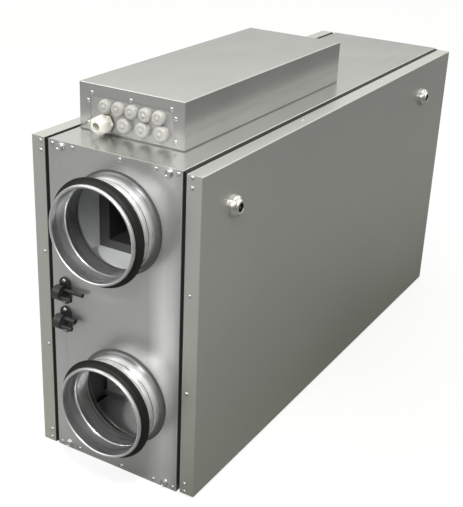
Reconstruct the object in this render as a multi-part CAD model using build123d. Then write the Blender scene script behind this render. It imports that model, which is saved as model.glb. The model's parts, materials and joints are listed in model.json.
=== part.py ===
"""Heat recovery unit: double-skinned sheet-metal casing, service door, fans, exchanger, filters, controls.

Millimetres. +Z is up, +Y runs along the casing from the front end to the rear end, and the service
door faces +X. The origin lies under the middle of the casing, on the surface that it stands on.
"""

import os
from math import cos, pi, radians, sin, sqrt

from build123d import *

# ---- driving dimensions of the casing ----
casing_length = 1080.0
casing_width = 330.0
casing_height = 590.0
panel_thickness = 28.0
gasket_gap = 7.0
wall_thickness = 25.0
sheet = 1.0
door_edge_gap = 3.0

# ---- duct connections ----
spigot_outer_radius = 79.5
spigot_wall = 1.0
spigot_length = 68.0
upper_spigot_x = 5.5
upper_spigot_below_top = 115.5
lower_spigot_x = 17.0
lower_spigot_height = 155.0
flare_radius = 89.0
flare_length = 10.0
collar_end = 27.0
bead_depth = 1.6
bead_width = 6.5
mouth_roll = 3.5
mouth_band = 4.0
crimp_width = 2.5
seal_back = 46.0
seal_width = 12.0
seal_lip_reach = 10.5
wall_hole_margin = 15.0
collar_step = 0.9
mouth_edge = 2.6
crimp_thickness = 1.2
gasket_inset = 2.0
gasket_depth = 16.0
gasket_sill = 3.0

# ---- air-side parts ----
core_half_flat = 60.0
core_base_height = 95.0
core_side_gap = 12.0
core_plate = 1.4
core_plate_pitch = 8.0
core_post_radius = 9.0
plate_margin = 1.0
end_cover_thickness = 1.5
bypass_depth = 75.0
blade_thickness = 2.0
blade_edge_gap = 4.0
blade_shaft_radius = 4.0
damper_frame_lip = 1.5
lug_inset = 2.0
lug_thickness = 3.0
lug_radius = 12.0
actuator_side = 40.0
actuator_length = 60.0
actuator_standoff = 24.0
shaft_end = 28.0
filter_depth = 50.0
filter_from_end = 150.0
filter_frame = 18.0
filter_side_gap = 3.0
pleat_pitch = 13.0
pleat_fold = 7.0
pleat_recess = 5.0
pleat_bite = 1.0
rail_clearance = 0.4
rail_lip = 12.0
rail_sheet = 1.5
divider_sheet = 1.5
divider_flange = 14.0
tray_wall = 2.0
tray_reach = 110.0
tray_lip = 28.0
drain_radius = 8.0
drain_wall = 2.0
drain_x = 35.0

# ---- fans ----
fan_width = 120.0
fan_shell = 2.5
fan_start_radius = 84.0
fan_spiral_step = 14.0
fan_drop = 64.0
fan_axis_from_end = 205.0
fan_outlet_height = 118.0
fan_inlet_radius = 57.0
sleeve_start = 3.1
sleeve_length = 54.0
outlet_flange_thickness = 3.0
impeller_radius = 74.0
impeller_inner_radius = 60.0
impeller_width = 92.0
impeller_sheet = 2.0
blade_count = 26
fan_blade_sheet = 1.6
motor_radius = 28.0
rotor_cup_gap = 2.5
motor_flange_radius = 45.0
motor_flange = 4.0
shaft_radius = 4.0
cup_wall = 3.0
cup_length = 48.0
hub_length = 8.0
stator_length = 45.0
motor_shaft_length = 62.0
tongue_bevel = 6.0
inlet_ring_width = 5.0
inlet_ring_height = 6.0
blade_camber = 2.6

# ---- control box ----
box_width = 207.0
box_length = 562.0
box_height = 81.0
box_right_edge = 84.0
box_setback = 74.0
base_setback = 18.0
base_height = 12.0
gland_window_width = 162.0
gland_window_top = 60.0
gland_window_sill = 4.0
gland_plate_margin = 11.0
box_rivet_inset = 8.0
box_rivet_margin = 5.0
box_rivet_side_heights = (51.0, 13.0)
small_gland_radius = 12.0
small_gland_pitch = 26.3
small_gland_height = 47.0
large_gland_radius = 13.5
large_gland_pitch = 36.0
large_gland_height = 21.5
gland_row_shift = 3.0
large_gland_row_shift = 24.5
cable_gland_x = 49.0
cable_gland_height = 19.0
gland_proud = 12.0
gland_thread_radius = 8.0
gland_thread_length = 9.0
locknut_thickness = 4.0
locknut_flats = 10.5
gland_seal_radius = 12.5
gland_seal_thickness = 2.5
cable_gland_base = 8.0
cable_gland_neck_radius = 10.3
cable_gland_neck_length = 20.0
cap_nut_stand = 10.8
cap_nut_length = 19.5
cap_nut_socket = 12.2
cable_gland_flats = 15.0
cable_gland_bore = 6.5
board_width = 120.0
board_length = 300.0
board_height = 12.0
board_setback = 120.0
board_thickness = 1.6
board_post_inset = 8.0
board_post_radius = 3.0
relay_start = 60.0
relay_pitch = 50.0
relay_height = 24.0
terminal_pitch = 14.0
terminal_height = 15.0

# ---- door ironmongery ----
latch_below_top = 79.0
front_latch_from_end = 98.0
rear_latch_from_end = 156.0
latch_bezel_radius = 19.0
latch_bezel_height = 13.0
latch_shank_radius = 11.0
latch_insert_radius = 8.0
latch_reach = 34.0
latch_nut_thickness = 5.0
latch_recess_depth = 9.0
latch_recess_wall = 1.4
latch_insert_sink = 0.8
latch_stud_radius = 4.2
latch_screw_height = 4.0
cam_length = 45.0
cam_width = 18.0
cam_thickness = 3.0
keeper_gap = 1.0
keeper_drop = 20.0
keeper_width = 26.0
keeper_sheet = 2.5
keeper_foot = 18.0
hinge_inset = 5.0
hinge_barrel_radius = 3.6
hinge_pin_radius = 1.8
hinge_from_end = 190.0
hinge_notch_length = 70.0
hinge_notch_height = 14.0
hinge_leaf = 2.5
knuckle_length = 25.0

# ---- fasteners and pressure ports ----
rivet_head_radius = 3.8
rivet_head_height = 1.6
rivet_shank_radius = 2.0
rivet_shank_length = 6.0
rivet_pocket_radius = 2.4
rivet_pocket_depth = 8.0
screw_hole_radius = 4.0
screw_shank_radius = 3.9
screw_shank_length = 12.0
screw_head_height = 5.0
screw_washer_height = 1.5
screw_pocket_radius = 4.6
screw_pocket_depth = 14.0
screw_flats = 11.0
screw_washer_radius = 8.0
screw_from_side = 25.0
screw_from_edge = 9.0
rivet_from_side = 8.0
rivet_second_from_side = 49.0
rivet_middle_x = 13.0
rivet_from_edge = 7.0
panel_rivet_inset = 9.5
panel_rivet_heights = (7.5, 24.0, 205.0)
edge_rivet_half_spacing = 180.0
port_x = -103.0
upper_port_height = 324.0
lower_port_height = 269.0
port_screw_offset = 19.0
port_flange_width = 24.0
port_flange_thickness = 3.0
port_drum_radius = 13.0
port_drum_length = 15.0
nozzle_radius = 3.6
nozzle_bore = 2.0
nozzle_bore_depth = 12.0
far_nozzle_length = 44.0
near_nozzle_length = 27.0
stub_length = 26.0
stub_radius = 5.4
far_nozzle_stand = 8.5
near_nozzle_stand = 19.0
nozzle_half_step = 5.0
port_screw_radius = 1.5
port_screw_hole_radius = 1.6
port_screw_length = 9.0
port_screw_pocket_radius = 2.0
port_screw_pocket_depth = 12.0

# ---- clearances ----
hole_clearance = 0.2
seat_clearance = 0.3
running_clearance = 0.05
cut_over = 1.0

# ---- values worked out from them ----
end_y = casing_length / 2
side_x = casing_width / 2
frame_x = side_x - panel_thickness - gasket_gap
inner_x = side_x - panel_thickness
inner_end = end_y - wall_thickness
floor_z = wall_thickness
ceiling_z = casing_height - wall_thickness
middle_z = casing_height / 2
spigot_inner_radius = spigot_outer_radius - spigot_wall
crimp_radius = spigot_outer_radius + crimp_width
upper_spigot_z = casing_height - upper_spigot_below_top
core_half_height = middle_z - core_base_height
core_half_length = core_half_flat + core_half_height
core_low_x = -inner_x + bypass_depth
core_high_x = inner_x - core_side_gap
fan_y = -(end_y - fan_axis_from_end)
fan_z = upper_spigot_z - fan_drop
door_top = casing_height - door_edge_gap
latch_z = casing_height - latch_below_top
front_latch_y = -(end_y - front_latch_from_end)
rear_latch_y = end_y - rear_latch_from_end
hinge_x = side_x - hinge_inset
hinge_z = door_edge_gap + hinge_inset
cam_x = inner_x - latch_reach
box_left = box_right_edge - box_width
box_front = -end_y + box_setback
box_rear = box_front + box_length
box_top = casing_height + box_height
box_middle_x = (box_left + box_right_edge) / 2
gland_face = box_front + sheet


def block(x0, x1, y0, y1, z0, z1):
    """A rectangular solid between two corners."""
    solid = Box(x1 - x0, y1 - y0, z1 - z0, align=(Align.MIN, Align.MIN, Align.MIN))
    return Pos(x0, y0, z0) * solid


def rod(start, direction, radius, length):
    """A cylinder that starts at a point and runs along a direction."""
    plane = Plane(origin=start, z_dir=direction)
    return plane * Cylinder(radius, length, align=(Align.CENTER, Align.CENTER, Align.MIN))


def hexagon_rod(start, direction, flats, length):
    """A hexagonal bar measured across half its flats."""
    plane = Plane(origin=start, z_dir=direction)
    outline = RegularPolygon(flats, 6, major_radius=False, rotation=30)
    return extrude(plane * outline, length)


def folded_tray(x0, x1, y0, y1, z0, z1, open_side, t=sheet):
    """A box of thin sheet with one side left open, named like '+x' or '-z'."""
    low = [x0 + t, y0 + t, z0 + t]
    high = [x1 - t, y1 - t, z1 - t]
    axis = "xyz".index(open_side[1])
    if open_side[0] == "+":
        high[axis] += 2 * t
    else:
        low[axis] -= 2 * t
    inside = block(low[0], high[0], low[1], high[1], low[2], high[2])
    return block(x0, x1, y0, y1, z0, z1) - inside


def ring_of_section(points, start, direction):
    """A turned ring: points are (radius, distance along the direction)."""
    outline = make_face(Polyline(*[(r, 0, a) for r, a in points], close=True))
    turned = revolve(outline, Axis.Z)
    return Plane(origin=start, z_dir=direction) * turned


def both_ends(solid):
    """The same piece at the front end and, mirrored, at the rear end."""
    return [solid, mirror(solid, Plane.XZ)]


def rivet(start, direction):
    """A domed blind rivet whose head sits on a face and whose shank goes through it."""
    r = rivet_head_radius
    h = rivet_head_height
    dome = [(0, h), (r * 0.5, h * 0.86), (r * 0.82, h * 0.5), (r, 0)]
    shank = [(rivet_shank_radius, 0), (rivet_shank_radius, -rivet_shank_length), (0, -rivet_shank_length)]
    return ring_of_section(dome + shank, start, direction)


# ---- positions of the fasteners ----
def frame_rivet_places():
    """(x, z) of the rivets along the top and bottom edges of an end plate."""
    side = frame_x - rivet_from_side
    second = frame_x - rivet_second_from_side
    columns = (-side, -second, rivet_middle_x, second, side)
    rows = (rivet_from_edge, casing_height - rivet_from_edge)
    return [(x, z) for z in rows for x in columns]


def frame_screw_places():
    """(x, z) of the large corner screws of an end plate."""
    x = frame_x - screw_from_side
    rows = (screw_from_edge, casing_height - screw_from_edge)
    return [(s * x, z) for z in rows for s in (-1, 1)]


def panel_rivet_heights_all():
    """Heights of the rivets down the end flange of a side panel."""
    mirrored = [casing_height - h for h in panel_rivet_heights]
    return list(panel_rivet_heights) + mirrored


def box_rivet_places():
    """(x, height over the casing) of the rivets round the gland window."""
    side = gland_window_width / 2 + box_rivet_margin
    top = gland_window_top + box_rivet_margin
    upper = [(box_middle_x + s * (side - box_rivet_inset), top) for s in (-1, 0, 1)]
    sides = [(box_middle_x + s * side, h) for s in (-1, 1) for h in box_rivet_side_heights]
    return upper + sides


def drill_ends(solid, places, radius):
    """Round holes along Y through both ends at (x, z) places."""
    for x, z in places:
        solid -= rod((x, -end_y - 1, z), (0, 1, 0), radius, casing_length + 2)
    return solid


# ---- casing ----
def casing_top():
    low = -end_y + sheet
    tray = folded_tray(-frame_x, frame_x, low, -low, ceiling_z, casing_height, "-z")
    tray = drill_ends(tray, frame_rivet_places(), rivet_shank_radius)
    return drill_ends(tray, frame_screw_places(), screw_hole_radius)


def casing_bottom():
    low = -end_y + sheet
    tray = folded_tray(-frame_x, frame_x, low, -low, 0, floor_z, "+z")
    tray = drill_ends(tray, frame_rivet_places(), rivet_shank_radius)
    tray = drill_ends(tray, frame_screw_places(), screw_hole_radius)
    return tray - rod((drain_x, 0, -cut_over), (0, 0, 1), drain_hole_radius(), sheet + 2 * cut_over)


def drain_hole_radius():
    return drain_radius + drain_wall + hole_clearance


def end_plate():
    """Front end plate: full-height face with side flanges between the top and bottom trays."""
    face = block(-frame_x, frame_x, -end_y, -end_y + sheet, 0, casing_height)
    for s in (-1, 1):
        outer = s * frame_x
        inner = s * (frame_x - sheet)
        x0, x1 = min(outer, inner), max(outer, inner)
        face += block(x0, x1, -end_y + sheet, -inner_end, floor_z, ceiling_z)
    hole = spigot_outer_radius + hole_clearance
    for x, z in ((upper_spigot_x, upper_spigot_z), (lower_spigot_x, lower_spigot_height)):
        face -= through_sheet(x, z, hole)
    face = drill_ends(face, frame_rivet_places(), rivet_shank_radius)
    face = drill_ends(face, frame_screw_places(), screw_hole_radius)
    for z in port_screw_places():
        face -= through_sheet(port_x, z, port_screw_hole_radius)
    return face


def through_sheet(x, z, radius):
    """A cutter for a round hole through the front end plate."""
    return rod((x, -end_y - cut_over, z), (0, 1, 0), radius, sheet + 2 * cut_over)


def port_screw_places():
    """Heights of the four small screws of the pressure ports."""
    heights = (upper_port_height, lower_port_height)
    return [h + s * port_screw_offset for h in heights for s in (-1, 1)]


def rear_end_plate():
    """Rear end plate: the front one mirrored, without the pressure port screw holes."""
    plate = mirror(end_plate(), Plane.XZ)
    for z in port_screw_places():
        plate += rod((port_x, end_y - sheet, z), (0, 1, 0), port_screw_hole_radius, sheet)
    return plate


def casing_insulation():
    """Five separate slabs: top, bottom, front, rear and left panel."""
    x = frame_x - sheet
    y = end_y - sheet
    top = block(-x, x, -y + sheet, y - sheet, ceiling_z + sheet, casing_height - sheet)
    bottom = block(-x, x, -y + sheet, y - sheet, sheet, floor_z - sheet)
    bottom -= rod((drain_x, 0, 0), (0, 0, 1), drain_hole_radius(), floor_z)
    front = block(-x, x, -y, -inner_end - sheet, floor_z, ceiling_z)
    front -= wall_openings()
    rear = mirror(front, Plane.XZ)
    for z in port_screw_places():
        front -= rod((port_x, -end_y, z), (0, 1, 0), port_screw_pocket_radius, port_screw_pocket_depth)
    panel_x = side_x - sheet
    panel_y = end_y - sheet
    side = block(-panel_x, -inner_x - sheet, -panel_y, panel_y, sheet, casing_height - sheet)
    places = frame_rivet_places() + frame_screw_places()
    trays = [clear_fasteners(slab, places) for slab in (top, bottom)]
    return Compound(children=trays + [front, rear, clear_panel_rivets(side, -1)])


def clear_fasteners(slab, places):
    """Pockets in a slab round the shanks that come through the end plates."""
    for x, z in places:
        for y in (-end_y, end_y - screw_pocket_depth):
            slab -= rod((x, y, z), (0, 1, 0), screw_pocket_radius, screw_pocket_depth)
    return slab


def clear_panel_rivets(slab, side):
    """Pockets in a panel's slab round the rivets in its end and top flanges."""
    x = side * (inner_x + panel_rivet_inset)
    depth = rivet_pocket_depth
    for z in panel_rivet_heights_all():
        for y in (-end_y, end_y - depth):
            slab -= rod((x, y, z), (0, 1, 0), rivet_pocket_radius, depth)
    for y in (-edge_rivet_half_spacing, edge_rivet_half_spacing):
        low = door_top - depth
        slab -= rod((x, y, low), (0, 0, 1), rivet_pocket_radius, casing_height - low)
    return slab


def wall_hole():
    return spigot_outer_radius + wall_hole_margin


def wall_openings():
    """Ways through the front wall: square round the fan's outlet sleeve, round behind the lower spigot."""
    half = spigot_outer_radius + hole_clearance / 2
    square = block(
        upper_spigot_x - half, upper_spigot_x + half, -end_y - cut_over, -inner_end + cut_over,
        upper_spigot_z - half, upper_spigot_z + half,
    )
    centre = (upper_spigot_x, -end_y, upper_spigot_z)
    recess = rod(centre, (0, 1, 0), crimp_radius + seat_clearance, sleeve_start)
    lower = (lower_spigot_x, -end_y, lower_spigot_height)
    return square + recess + rod(lower, (0, 1, 0), wall_hole(), wall_thickness + cut_over)


def inner_liner():
    """Inner skin: a folded ring round the air space, open to the door and the left panel."""
    x = frame_x - sheet
    y = inner_end + sheet
    outer = block(-x, x, -y, y, floor_z - sheet, ceiling_z + sheet)
    ring = outer - block(-frame_x, frame_x, -inner_end, inner_end, floor_z, ceiling_z)
    for ways in both_ends(wall_openings()):
        ring -= ways
    drain_low = floor_z - sheet - cut_over
    return ring - rod((drain_x, 0, drain_low), (0, 0, 1), drain_hole_radius(), sheet + 2 * cut_over)


def panel_rivet_holes(skin, side):
    """Holes in a side panel's end flanges and top flange."""
    x = side * (inner_x + panel_rivet_inset)
    places = [(x, z) for z in panel_rivet_heights_all()]
    skin = drill_ends(skin, places, rivet_shank_radius)
    for y in (-edge_rivet_half_spacing, edge_rivet_half_spacing):
        low = door_top - rivet_shank_length
        skin -= rod((x, y, low), (0, 0, 1), rivet_shank_radius, casing_height - low + cut_over)
    return skin


def left_panel_skin():
    tray = folded_tray(-side_x, -inner_x - sheet, -end_y, end_y, 0, casing_height, "+x")
    return panel_rivet_holes(tray, -1)


def left_panel_liner():
    return block(-inner_x - sheet, -inner_x, -end_y, end_y, 0, casing_height)


def gasket(x0, x1, bottom):
    """Rubber frame between the casing and a side panel."""
    y = end_y - gasket_inset
    top = casing_height - gasket_inset
    outer = block(x0, x1, -y, y, bottom, top)
    y -= gasket_depth
    return outer - block(x0 - cut_over, x1 + cut_over, -y, y, floor_z - sheet, top - gasket_depth)


def left_panel_gasket():
    return gasket(-inner_x, -frame_x, gasket_inset)


def door_gasket():
    return gasket(frame_x, inner_x - seat_clearance, hinge_notch_height + gasket_sill)


# ---- duct connections ----
def spigot(x, z):
    """Duct spigot at the front end: flared collar, tube with a rolled-in bead, rolled mouth."""
    bore = spigot_inner_radius
    tube = spigot_outer_radius
    collar = tube + collar_step
    lip = tube + mouth_roll
    bead_start = collar_end + spigot_wall
    bead_end = bead_start + bead_width
    bead_middle = (bead_start + bead_end) / 2
    end = spigot_length
    edge = end - mouth_edge
    crimp_face = -sheet - running_clearance
    crimp_back = crimp_face - crimp_thickness
    flare_step = 1.0 - cos(pi / 4)
    flare_rim = (flare_radius - spigot_wall / 2, sheet)
    flare_mid = (
        collar + flare_step * (flare_radius - collar),
        sheet + flare_step * (flare_length - sheet),
    )

    def line(*points):
        return Polyline(*[(r, 0, a) for r, a in points])

    def arc(*points):
        return ThreePointArc(*[(r, 0, a) for r, a in points])

    profile = line((bore, crimp_back), (bore, bead_start))
    profile += arc((bore, bead_start), (bore - bead_depth, bead_middle), (bore, bead_end))
    profile += line((bore, bead_end), (bore, edge))
    profile += arc((bore, edge), ((bore + lip) / 2, end), (lip, edge))
    band_end = edge - mouth_band
    profile += line((lip, edge), (lip, band_end), (tube, band_end - mouth_roll / 2), (tube, bead_end))
    profile += arc((tube, bead_end), (tube - bead_depth, bead_middle), (tube, bead_start))
    profile += line((tube, bead_start), (tube, collar_end), (collar, collar_end - collar_step))
    profile += line((collar, collar_end - collar_step), (collar, flare_length))
    profile += arc((collar, flare_length), flare_mid, flare_rim)
    profile += line(flare_rim, (flare_radius, sheet / 2), (flare_radius, 0), (tube, 0), (tube, crimp_face))
    profile += line((tube, crimp_face), (crimp_radius, crimp_face), (crimp_radius, crimp_back))
    profile += line((crimp_radius, crimp_back), (bore, crimp_back))
    turned = revolve(make_face(profile), Axis.Z)
    return Plane(origin=(x, -end_y, z), z_dir=(0, -1, 0)) * turned


def spigot_seal(x, z):
    """Double-lipped rubber ring on the spigot."""
    tube = spigot_outer_radius
    back = seal_back
    front = back + seal_width
    tip = tube + seal_lip_reach + 1.0
    section = [
        (tube, back), (tube + 2.4, back), (tube + 7.5, back - 0.6), (tube + 8.2, back + 0.4),
        (tube + 3.4, back + 3.6), (tube + 3.8, back + 5.6), (tip, back + 4.2), (tip + 0.5, back + 5.6),
        (tube + 3.2, front - 0.6), (tube, front),
    ]
    return ring_of_section(section, (x, -end_y, z), (0, -1, 0))


# ---- fans: the exhaust fan is at the front end, the supply fan is its mirror image ----
def scroll_outline():
    """Inside outline of the fan's spiral, opening towards the front end at the top."""
    s = fan_spiral_step
    r = fan_start_radius
    half = s / 2
    lower_centre = (fan_y + half, fan_z - half)
    rear_centre = (fan_y + half, fan_z + half)
    top_centre = (fan_y - half, fan_z + half)
    top = top_centre[1] + r + 2 * s
    low = top - fan_outlet_height
    tongue_y = lower_centre[0] - r
    outlet_y = fan_outlet_y()

    def at(y, z):
        return (0, y, z)

    def quarter(centre, radius, start):
        angles = [radians(start + step) for step in (0, 45, 90)]
        return ThreePointArc(*[at(centre[0] + radius * cos(a), centre[1] + radius * sin(a)) for a in angles])

    spiral = quarter(lower_centre, r, 180)
    spiral += quarter(rear_centre, r + s, 270)
    spiral += quarter(top_centre, r + 2 * s, 0)
    spiral += Polyline(
        at(top_centre[0], top), at(outlet_y, top), at(outlet_y, low),
        at(tongue_y - tongue_bevel, low), at(tongue_y, low - tongue_bevel), at(tongue_y, lower_centre[1]),
    )
    return make_face(spiral), low, top


def fan_outlet_y():
    return -end_y + sleeve_start + sleeve_length


def outlet_square(half, y0, y1):
    """A square bar on the upper spigot's axis."""
    x = upper_spigot_x
    z = upper_spigot_z
    return block(x - half, x + half, y0, y1, z - half, z + half)


def outlet_sleeve():
    """Square sheet-metal duct through the wall, from the round spigot to the fan."""
    y0 = -end_y + sleeve_start
    y1 = fan_outlet_y()
    outer = outlet_square(spigot_outer_radius, y0, y1)
    return outer - outlet_square(spigot_inner_radius, y0 - cut_over, y1 + cut_over)


def fan_housing():
    """Scroll casing with its outlet flange, inlet ring and motor opening."""
    outline, low, top = scroll_outline()
    x0 = upper_spigot_x - fan_width / 2
    x1 = upper_spigot_x + fan_width / 2
    y0 = fan_outlet_y()
    outer = Pos(x0, 0, 0) * extrude(offset(outline, fan_shell), fan_width, dir=(1, 0, 0))
    cavity = Pos(x0 + fan_shell, 0, 0) * extrude(outline, fan_width - 2 * fan_shell, dir=(1, 0, 0))
    flange = outlet_square(spigot_outer_radius, y0, y0 + outlet_flange_thickness)
    past = flare_length
    beyond = block(x0 - past, x1 + past, y0 - past, y0, low - past, top + past)
    mouth = block(x0 + fan_shell, x1 - fan_shell, y0 - cut_over, y0 + past, low, top)
    inlet_ring = rod((x1, fan_y, fan_z), (1, 0, 0), fan_inlet_radius + inlet_ring_width, inlet_ring_height)
    inlet = rod((x1 - past, fan_y, fan_z), (1, 0, 0), fan_inlet_radius, past + inlet_ring_height + cut_over)
    motor_way = rod((x0 - cut_over, fan_y, fan_z), (1, 0, 0), motor_radius + seat_clearance, past)
    housing = (outer - beyond) + flange + inlet_ring
    return housing - cavity - mouth - inlet - motor_way


def fan_motor():
    """Stator with its flange outside the scroll and the shaft that the impeller turns on."""
    x0 = upper_spigot_x - fan_width / 2
    flange = rod((x0 - motor_flange, fan_y, fan_z), (1, 0, 0), motor_flange_radius, motor_flange)
    stator = rod((x0, fan_y, fan_z), (1, 0, 0), motor_radius, stator_length)
    shaft = rod((x0, fan_y, fan_z), (1, 0, 0), shaft_radius, motor_shaft_length)
    return flange + stator + shaft


def fan_blade():
    """One forward-curved blade as a face across the shaft, for the first position round the wheel."""
    r0 = impeller_inner_radius
    r1 = impeller_radius - fan_blade_sheet / 4
    t = fan_blade_sheet
    middle = (r0 + r1) / 2

    def at(r, across):
        return (0, r, across)

    edge = ThreePointArc(at(r0, 0), at(middle, -blade_camber), at(r1, 0))
    edge += Line(at(r1, 0), at(r1, t))
    edge += ThreePointArc(at(r1, t), at(middle, t - blade_camber), at(r0, t))
    edge += Line(at(r0, t), at(r0, 0))
    return make_face(edge)


def fan_impeller():
    """Drum impeller on a rotor cup that turns over the stator."""
    x0 = -impeller_width / 2
    t = impeller_sheet
    cup_inner = motor_radius + rotor_cup_gap
    cup_outer = cup_inner + cup_wall
    cup_floor = x0 + cup_length - cup_wall
    wheel = rod((x0, 0, 0), (1, 0, 0), impeller_radius, t)
    wheel += rod((x0, 0, 0), (1, 0, 0), cup_outer, cup_length)
    wheel -= rod((x0 - cut_over, 0, 0), (1, 0, 0), cup_inner, cup_length - cup_wall + cut_over)
    wheel += rod((cup_floor, 0, 0), (1, 0, 0), 2 * shaft_radius, cup_wall + hub_length)
    wheel -= rod((x0, 0, 0), (1, 0, 0), shaft_radius + running_clearance, impeller_width)
    front = rod((-x0 - t, 0, 0), (1, 0, 0), impeller_radius, t)
    front -= rod((-x0 - t - cut_over, 0, 0), (1, 0, 0), impeller_inner_radius, t + 2 * cut_over)
    blade = Pos(x0 + t / 2, 0, 0) * extrude(fan_blade(), impeller_width - t, dir=(1, 0, 0))
    blades = [Rot(360 / blade_count * i, 0, 0) * blade for i in range(blade_count)]
    return Pos(upper_spigot_x, fan_y, fan_z) * (wheel + front + blades)


# ---- exchanger, bypass and condensate tray ----
def hexagon(shrink=0.0):
    """Hexagon of the exchanger as a face in the YZ plane, pulled in by a given amount on every side."""
    height = core_half_height - shrink
    tip = core_half_length - shrink * sqrt(2)
    flat = core_half_flat - shrink * (sqrt(2) - 1)
    corners = [(flat, height), (tip, 0), (flat, -height), (-flat, -height), (-tip, 0), (-flat, height)]
    return make_face(Polyline(*[(0, y, middle_z + z) for y, z in corners], close=True))


def hexagon_slab(x0, x1, shrink=0.0):
    return Pos(x0, 0, 0) * extrude(hexagon(shrink), x1 - x0, dir=(1, 0, 0))


def exchanger_core():
    """Stack of thin plates held together by a post along each of the six corners."""
    count = int((core_high_x - core_low_x) / core_plate_pitch)
    pitch = (core_high_x - core_low_x - core_plate) / count
    stack = hexagon_slab(core_low_x, core_low_x + core_plate, plate_margin)
    plates = [Pos(pitch * i, 0, 0) * stack for i in range(count + 1)]
    corners = [(core_half_length, 0)] + [(core_half_flat, s * core_half_height) for s in (-1, 1)]
    posts = []
    for y, z in corners:
        for s in (-1, 1):
            start = (core_low_x, s * y, middle_z + z)
            posts.append(rod(start, (1, 0, 0), core_post_radius, core_high_x - core_low_x))
    envelope = hexagon_slab(core_low_x, core_high_x, plate_margin)
    posts = [post & envelope for post in posts]
    return plates[0] + plates[1:] + posts


def exchanger_end_covers():
    t = end_cover_thickness
    return Compound(children=[
        hexagon_slab(core_low_x - t, core_low_x),
        hexagon_slab(core_high_x, core_high_x + t),
    ])


def exchanger_web():
    """Upright sheet that closes the gap between the exchanger's top and the casing."""
    low = middle_z + core_half_height
    x0 = core_low_x
    x1 = inner_x - gasket_gap - sheet
    upright = block(x0, x1, -divider_sheet / 2, divider_sheet / 2, low, ceiling_z)
    foot = block(x0, x1, -divider_flange, divider_flange, low, low + divider_sheet)
    head = block(x0, x1, -divider_flange, divider_flange, ceiling_z - divider_sheet, ceiling_z)
    return upright + foot + head


def bypass_partition_x():
    return core_low_x - end_cover_thickness


def blade_axis_x():
    return (bypass_partition_x() - sheet - inner_x) / 2


def damper_frame():
    """Axes of the bypass opening: local X is the casing's X, local Y runs down the slanted face."""
    middle_y = -(core_half_flat + core_half_length) / 2
    origin = (blade_axis_x(), middle_y, middle_z - core_half_height / 2)
    return Plane(origin=origin, x_dir=(1, 0, 0), z_dir=(0, sin(pi / 4), cos(pi / 4)))


def slant():
    return core_half_height * sqrt(2)


def damper_block(x0, x1, along0, along1, n0, n1):
    """A block in the damper's axes: along the slanted face, and out of it."""
    return damper_frame() * block(x0, x1, along0, along1, n0, n1)


def bypass_duct():
    """Hexagonal duct behind the exchanger, open at the damper and at the opposite slanted side."""
    x1 = bypass_partition_x()
    x0 = -inner_x
    shell = hexagon_slab(x0, x1) - hexagon_slab(x0 - cut_over, x1 - sheet, sheet)
    width = x1 - sheet - x0
    end = slant() / 2
    reach = end - damper_frame_lip
    depth = bypass_depth / 8
    opening = damper_block(-width / 2 - 2 * sheet, width / 2, -reach, reach, -depth, depth)
    shell -= opening
    shell -= opening.rotate(Axis((0, 0, middle_z), (1, 0, 0)), 180)
    half = width / 2
    x_end = half + sheet
    foot = end - lug_inset
    stand = end + actuator_standoff
    side = actuator_side / 2
    shell += damper_block(-lug_radius, x_end, -foot, lug_thickness - foot, -lug_radius, lug_radius)
    shell += damper_block(-lug_radius, x_end, foot - lug_thickness, foot, -lug_radius, lug_radius)
    shell += damper_block(half, x_end, end - lug_radius, stand, -side, side)
    shell += damper_block(-actuator_length / 2, x_end, stand - 2 * sheet, stand, -side, side)
    bore = rod((0, -stand, 0), (0, 1, 0), blade_shaft_radius + running_clearance, 2 * stand)
    return shell - damper_frame() * bore


def bypass_blade():
    """Damper blade with the shaft that its actuator turns."""
    end = slant() / 2
    half = (bypass_partition_x() - sheet + inner_x) / 2 - blade_edge_gap
    reach = end - lug_inset - lug_thickness - blade_edge_gap
    plate = damper_block(-half, half, -reach, reach, -blade_thickness / 2, blade_thickness / 2)
    start = damper_frame_lip - end
    length = end + actuator_standoff + shaft_end - start
    shaft = rod((0, start, 0), (0, 1, 0), blade_shaft_radius, length)
    return plate + damper_frame() * shaft


def bypass_actuator():
    start = slant() / 2 + actuator_standoff
    half = actuator_side / 2
    body = block(-actuator_length / 2, actuator_length / 2, start, start + actuator_side, -half, half)
    body = fillet(body.edges().filter_by(Axis.Y), actuator_side / 12)
    depth = shaft_end + 2 * cut_over
    body -= rod((0, start - cut_over, 0), (0, 1, 0), blade_shaft_radius + running_clearance, depth)
    return damper_frame() * body


def divider():
    """Shelf between the fan's chamber and the filter's chamber at the front end."""
    tip = -core_half_length - plate_margin
    half = divider_sheet / 2
    x0 = -inner_x + seat_clearance
    x1 = frame_x - sheet
    shelf = block(x0, x1, -inner_end, tip, middle_z - half, middle_z + half)
    shelf += block(x0, x1, -inner_end, -inner_end + divider_sheet, middle_z, middle_z + divider_flange)
    shelf += block(x0, x1, tip - divider_sheet, tip, middle_z, middle_z + divider_flange)
    return shelf


def drain_tray():
    """Condensate tray that carries the exchanger, low and open behind it, with its outlet downwards."""
    top = middle_z - core_half_height
    lip = floor_z + tray_lip
    x0 = core_low_x
    x1 = inner_x - gasket_gap - sheet
    y = core_half_flat - tray_wall
    end = y + tray_reach
    tray = folded_tray(x0, x1, -y, end, floor_z, top, "+z", tray_wall)
    tray -= block(x0 - cut_over, x1 + cut_over, y, end + cut_over, lip, top + cut_over)
    outlet = rod((drain_x, 0, sheet), (0, 0, 1), drain_radius + drain_wall, floor_z)
    tray += outlet
    return tray - rod((drain_x, 0, 0), (0, 0, 1), drain_radius, floor_z + tray_wall + cut_over)


# ---- filters ----
def filter_faces():
    """Y of the front and rear faces of the front filter."""
    y0 = -end_y + filter_from_end
    return y0, y0 + filter_depth


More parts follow.
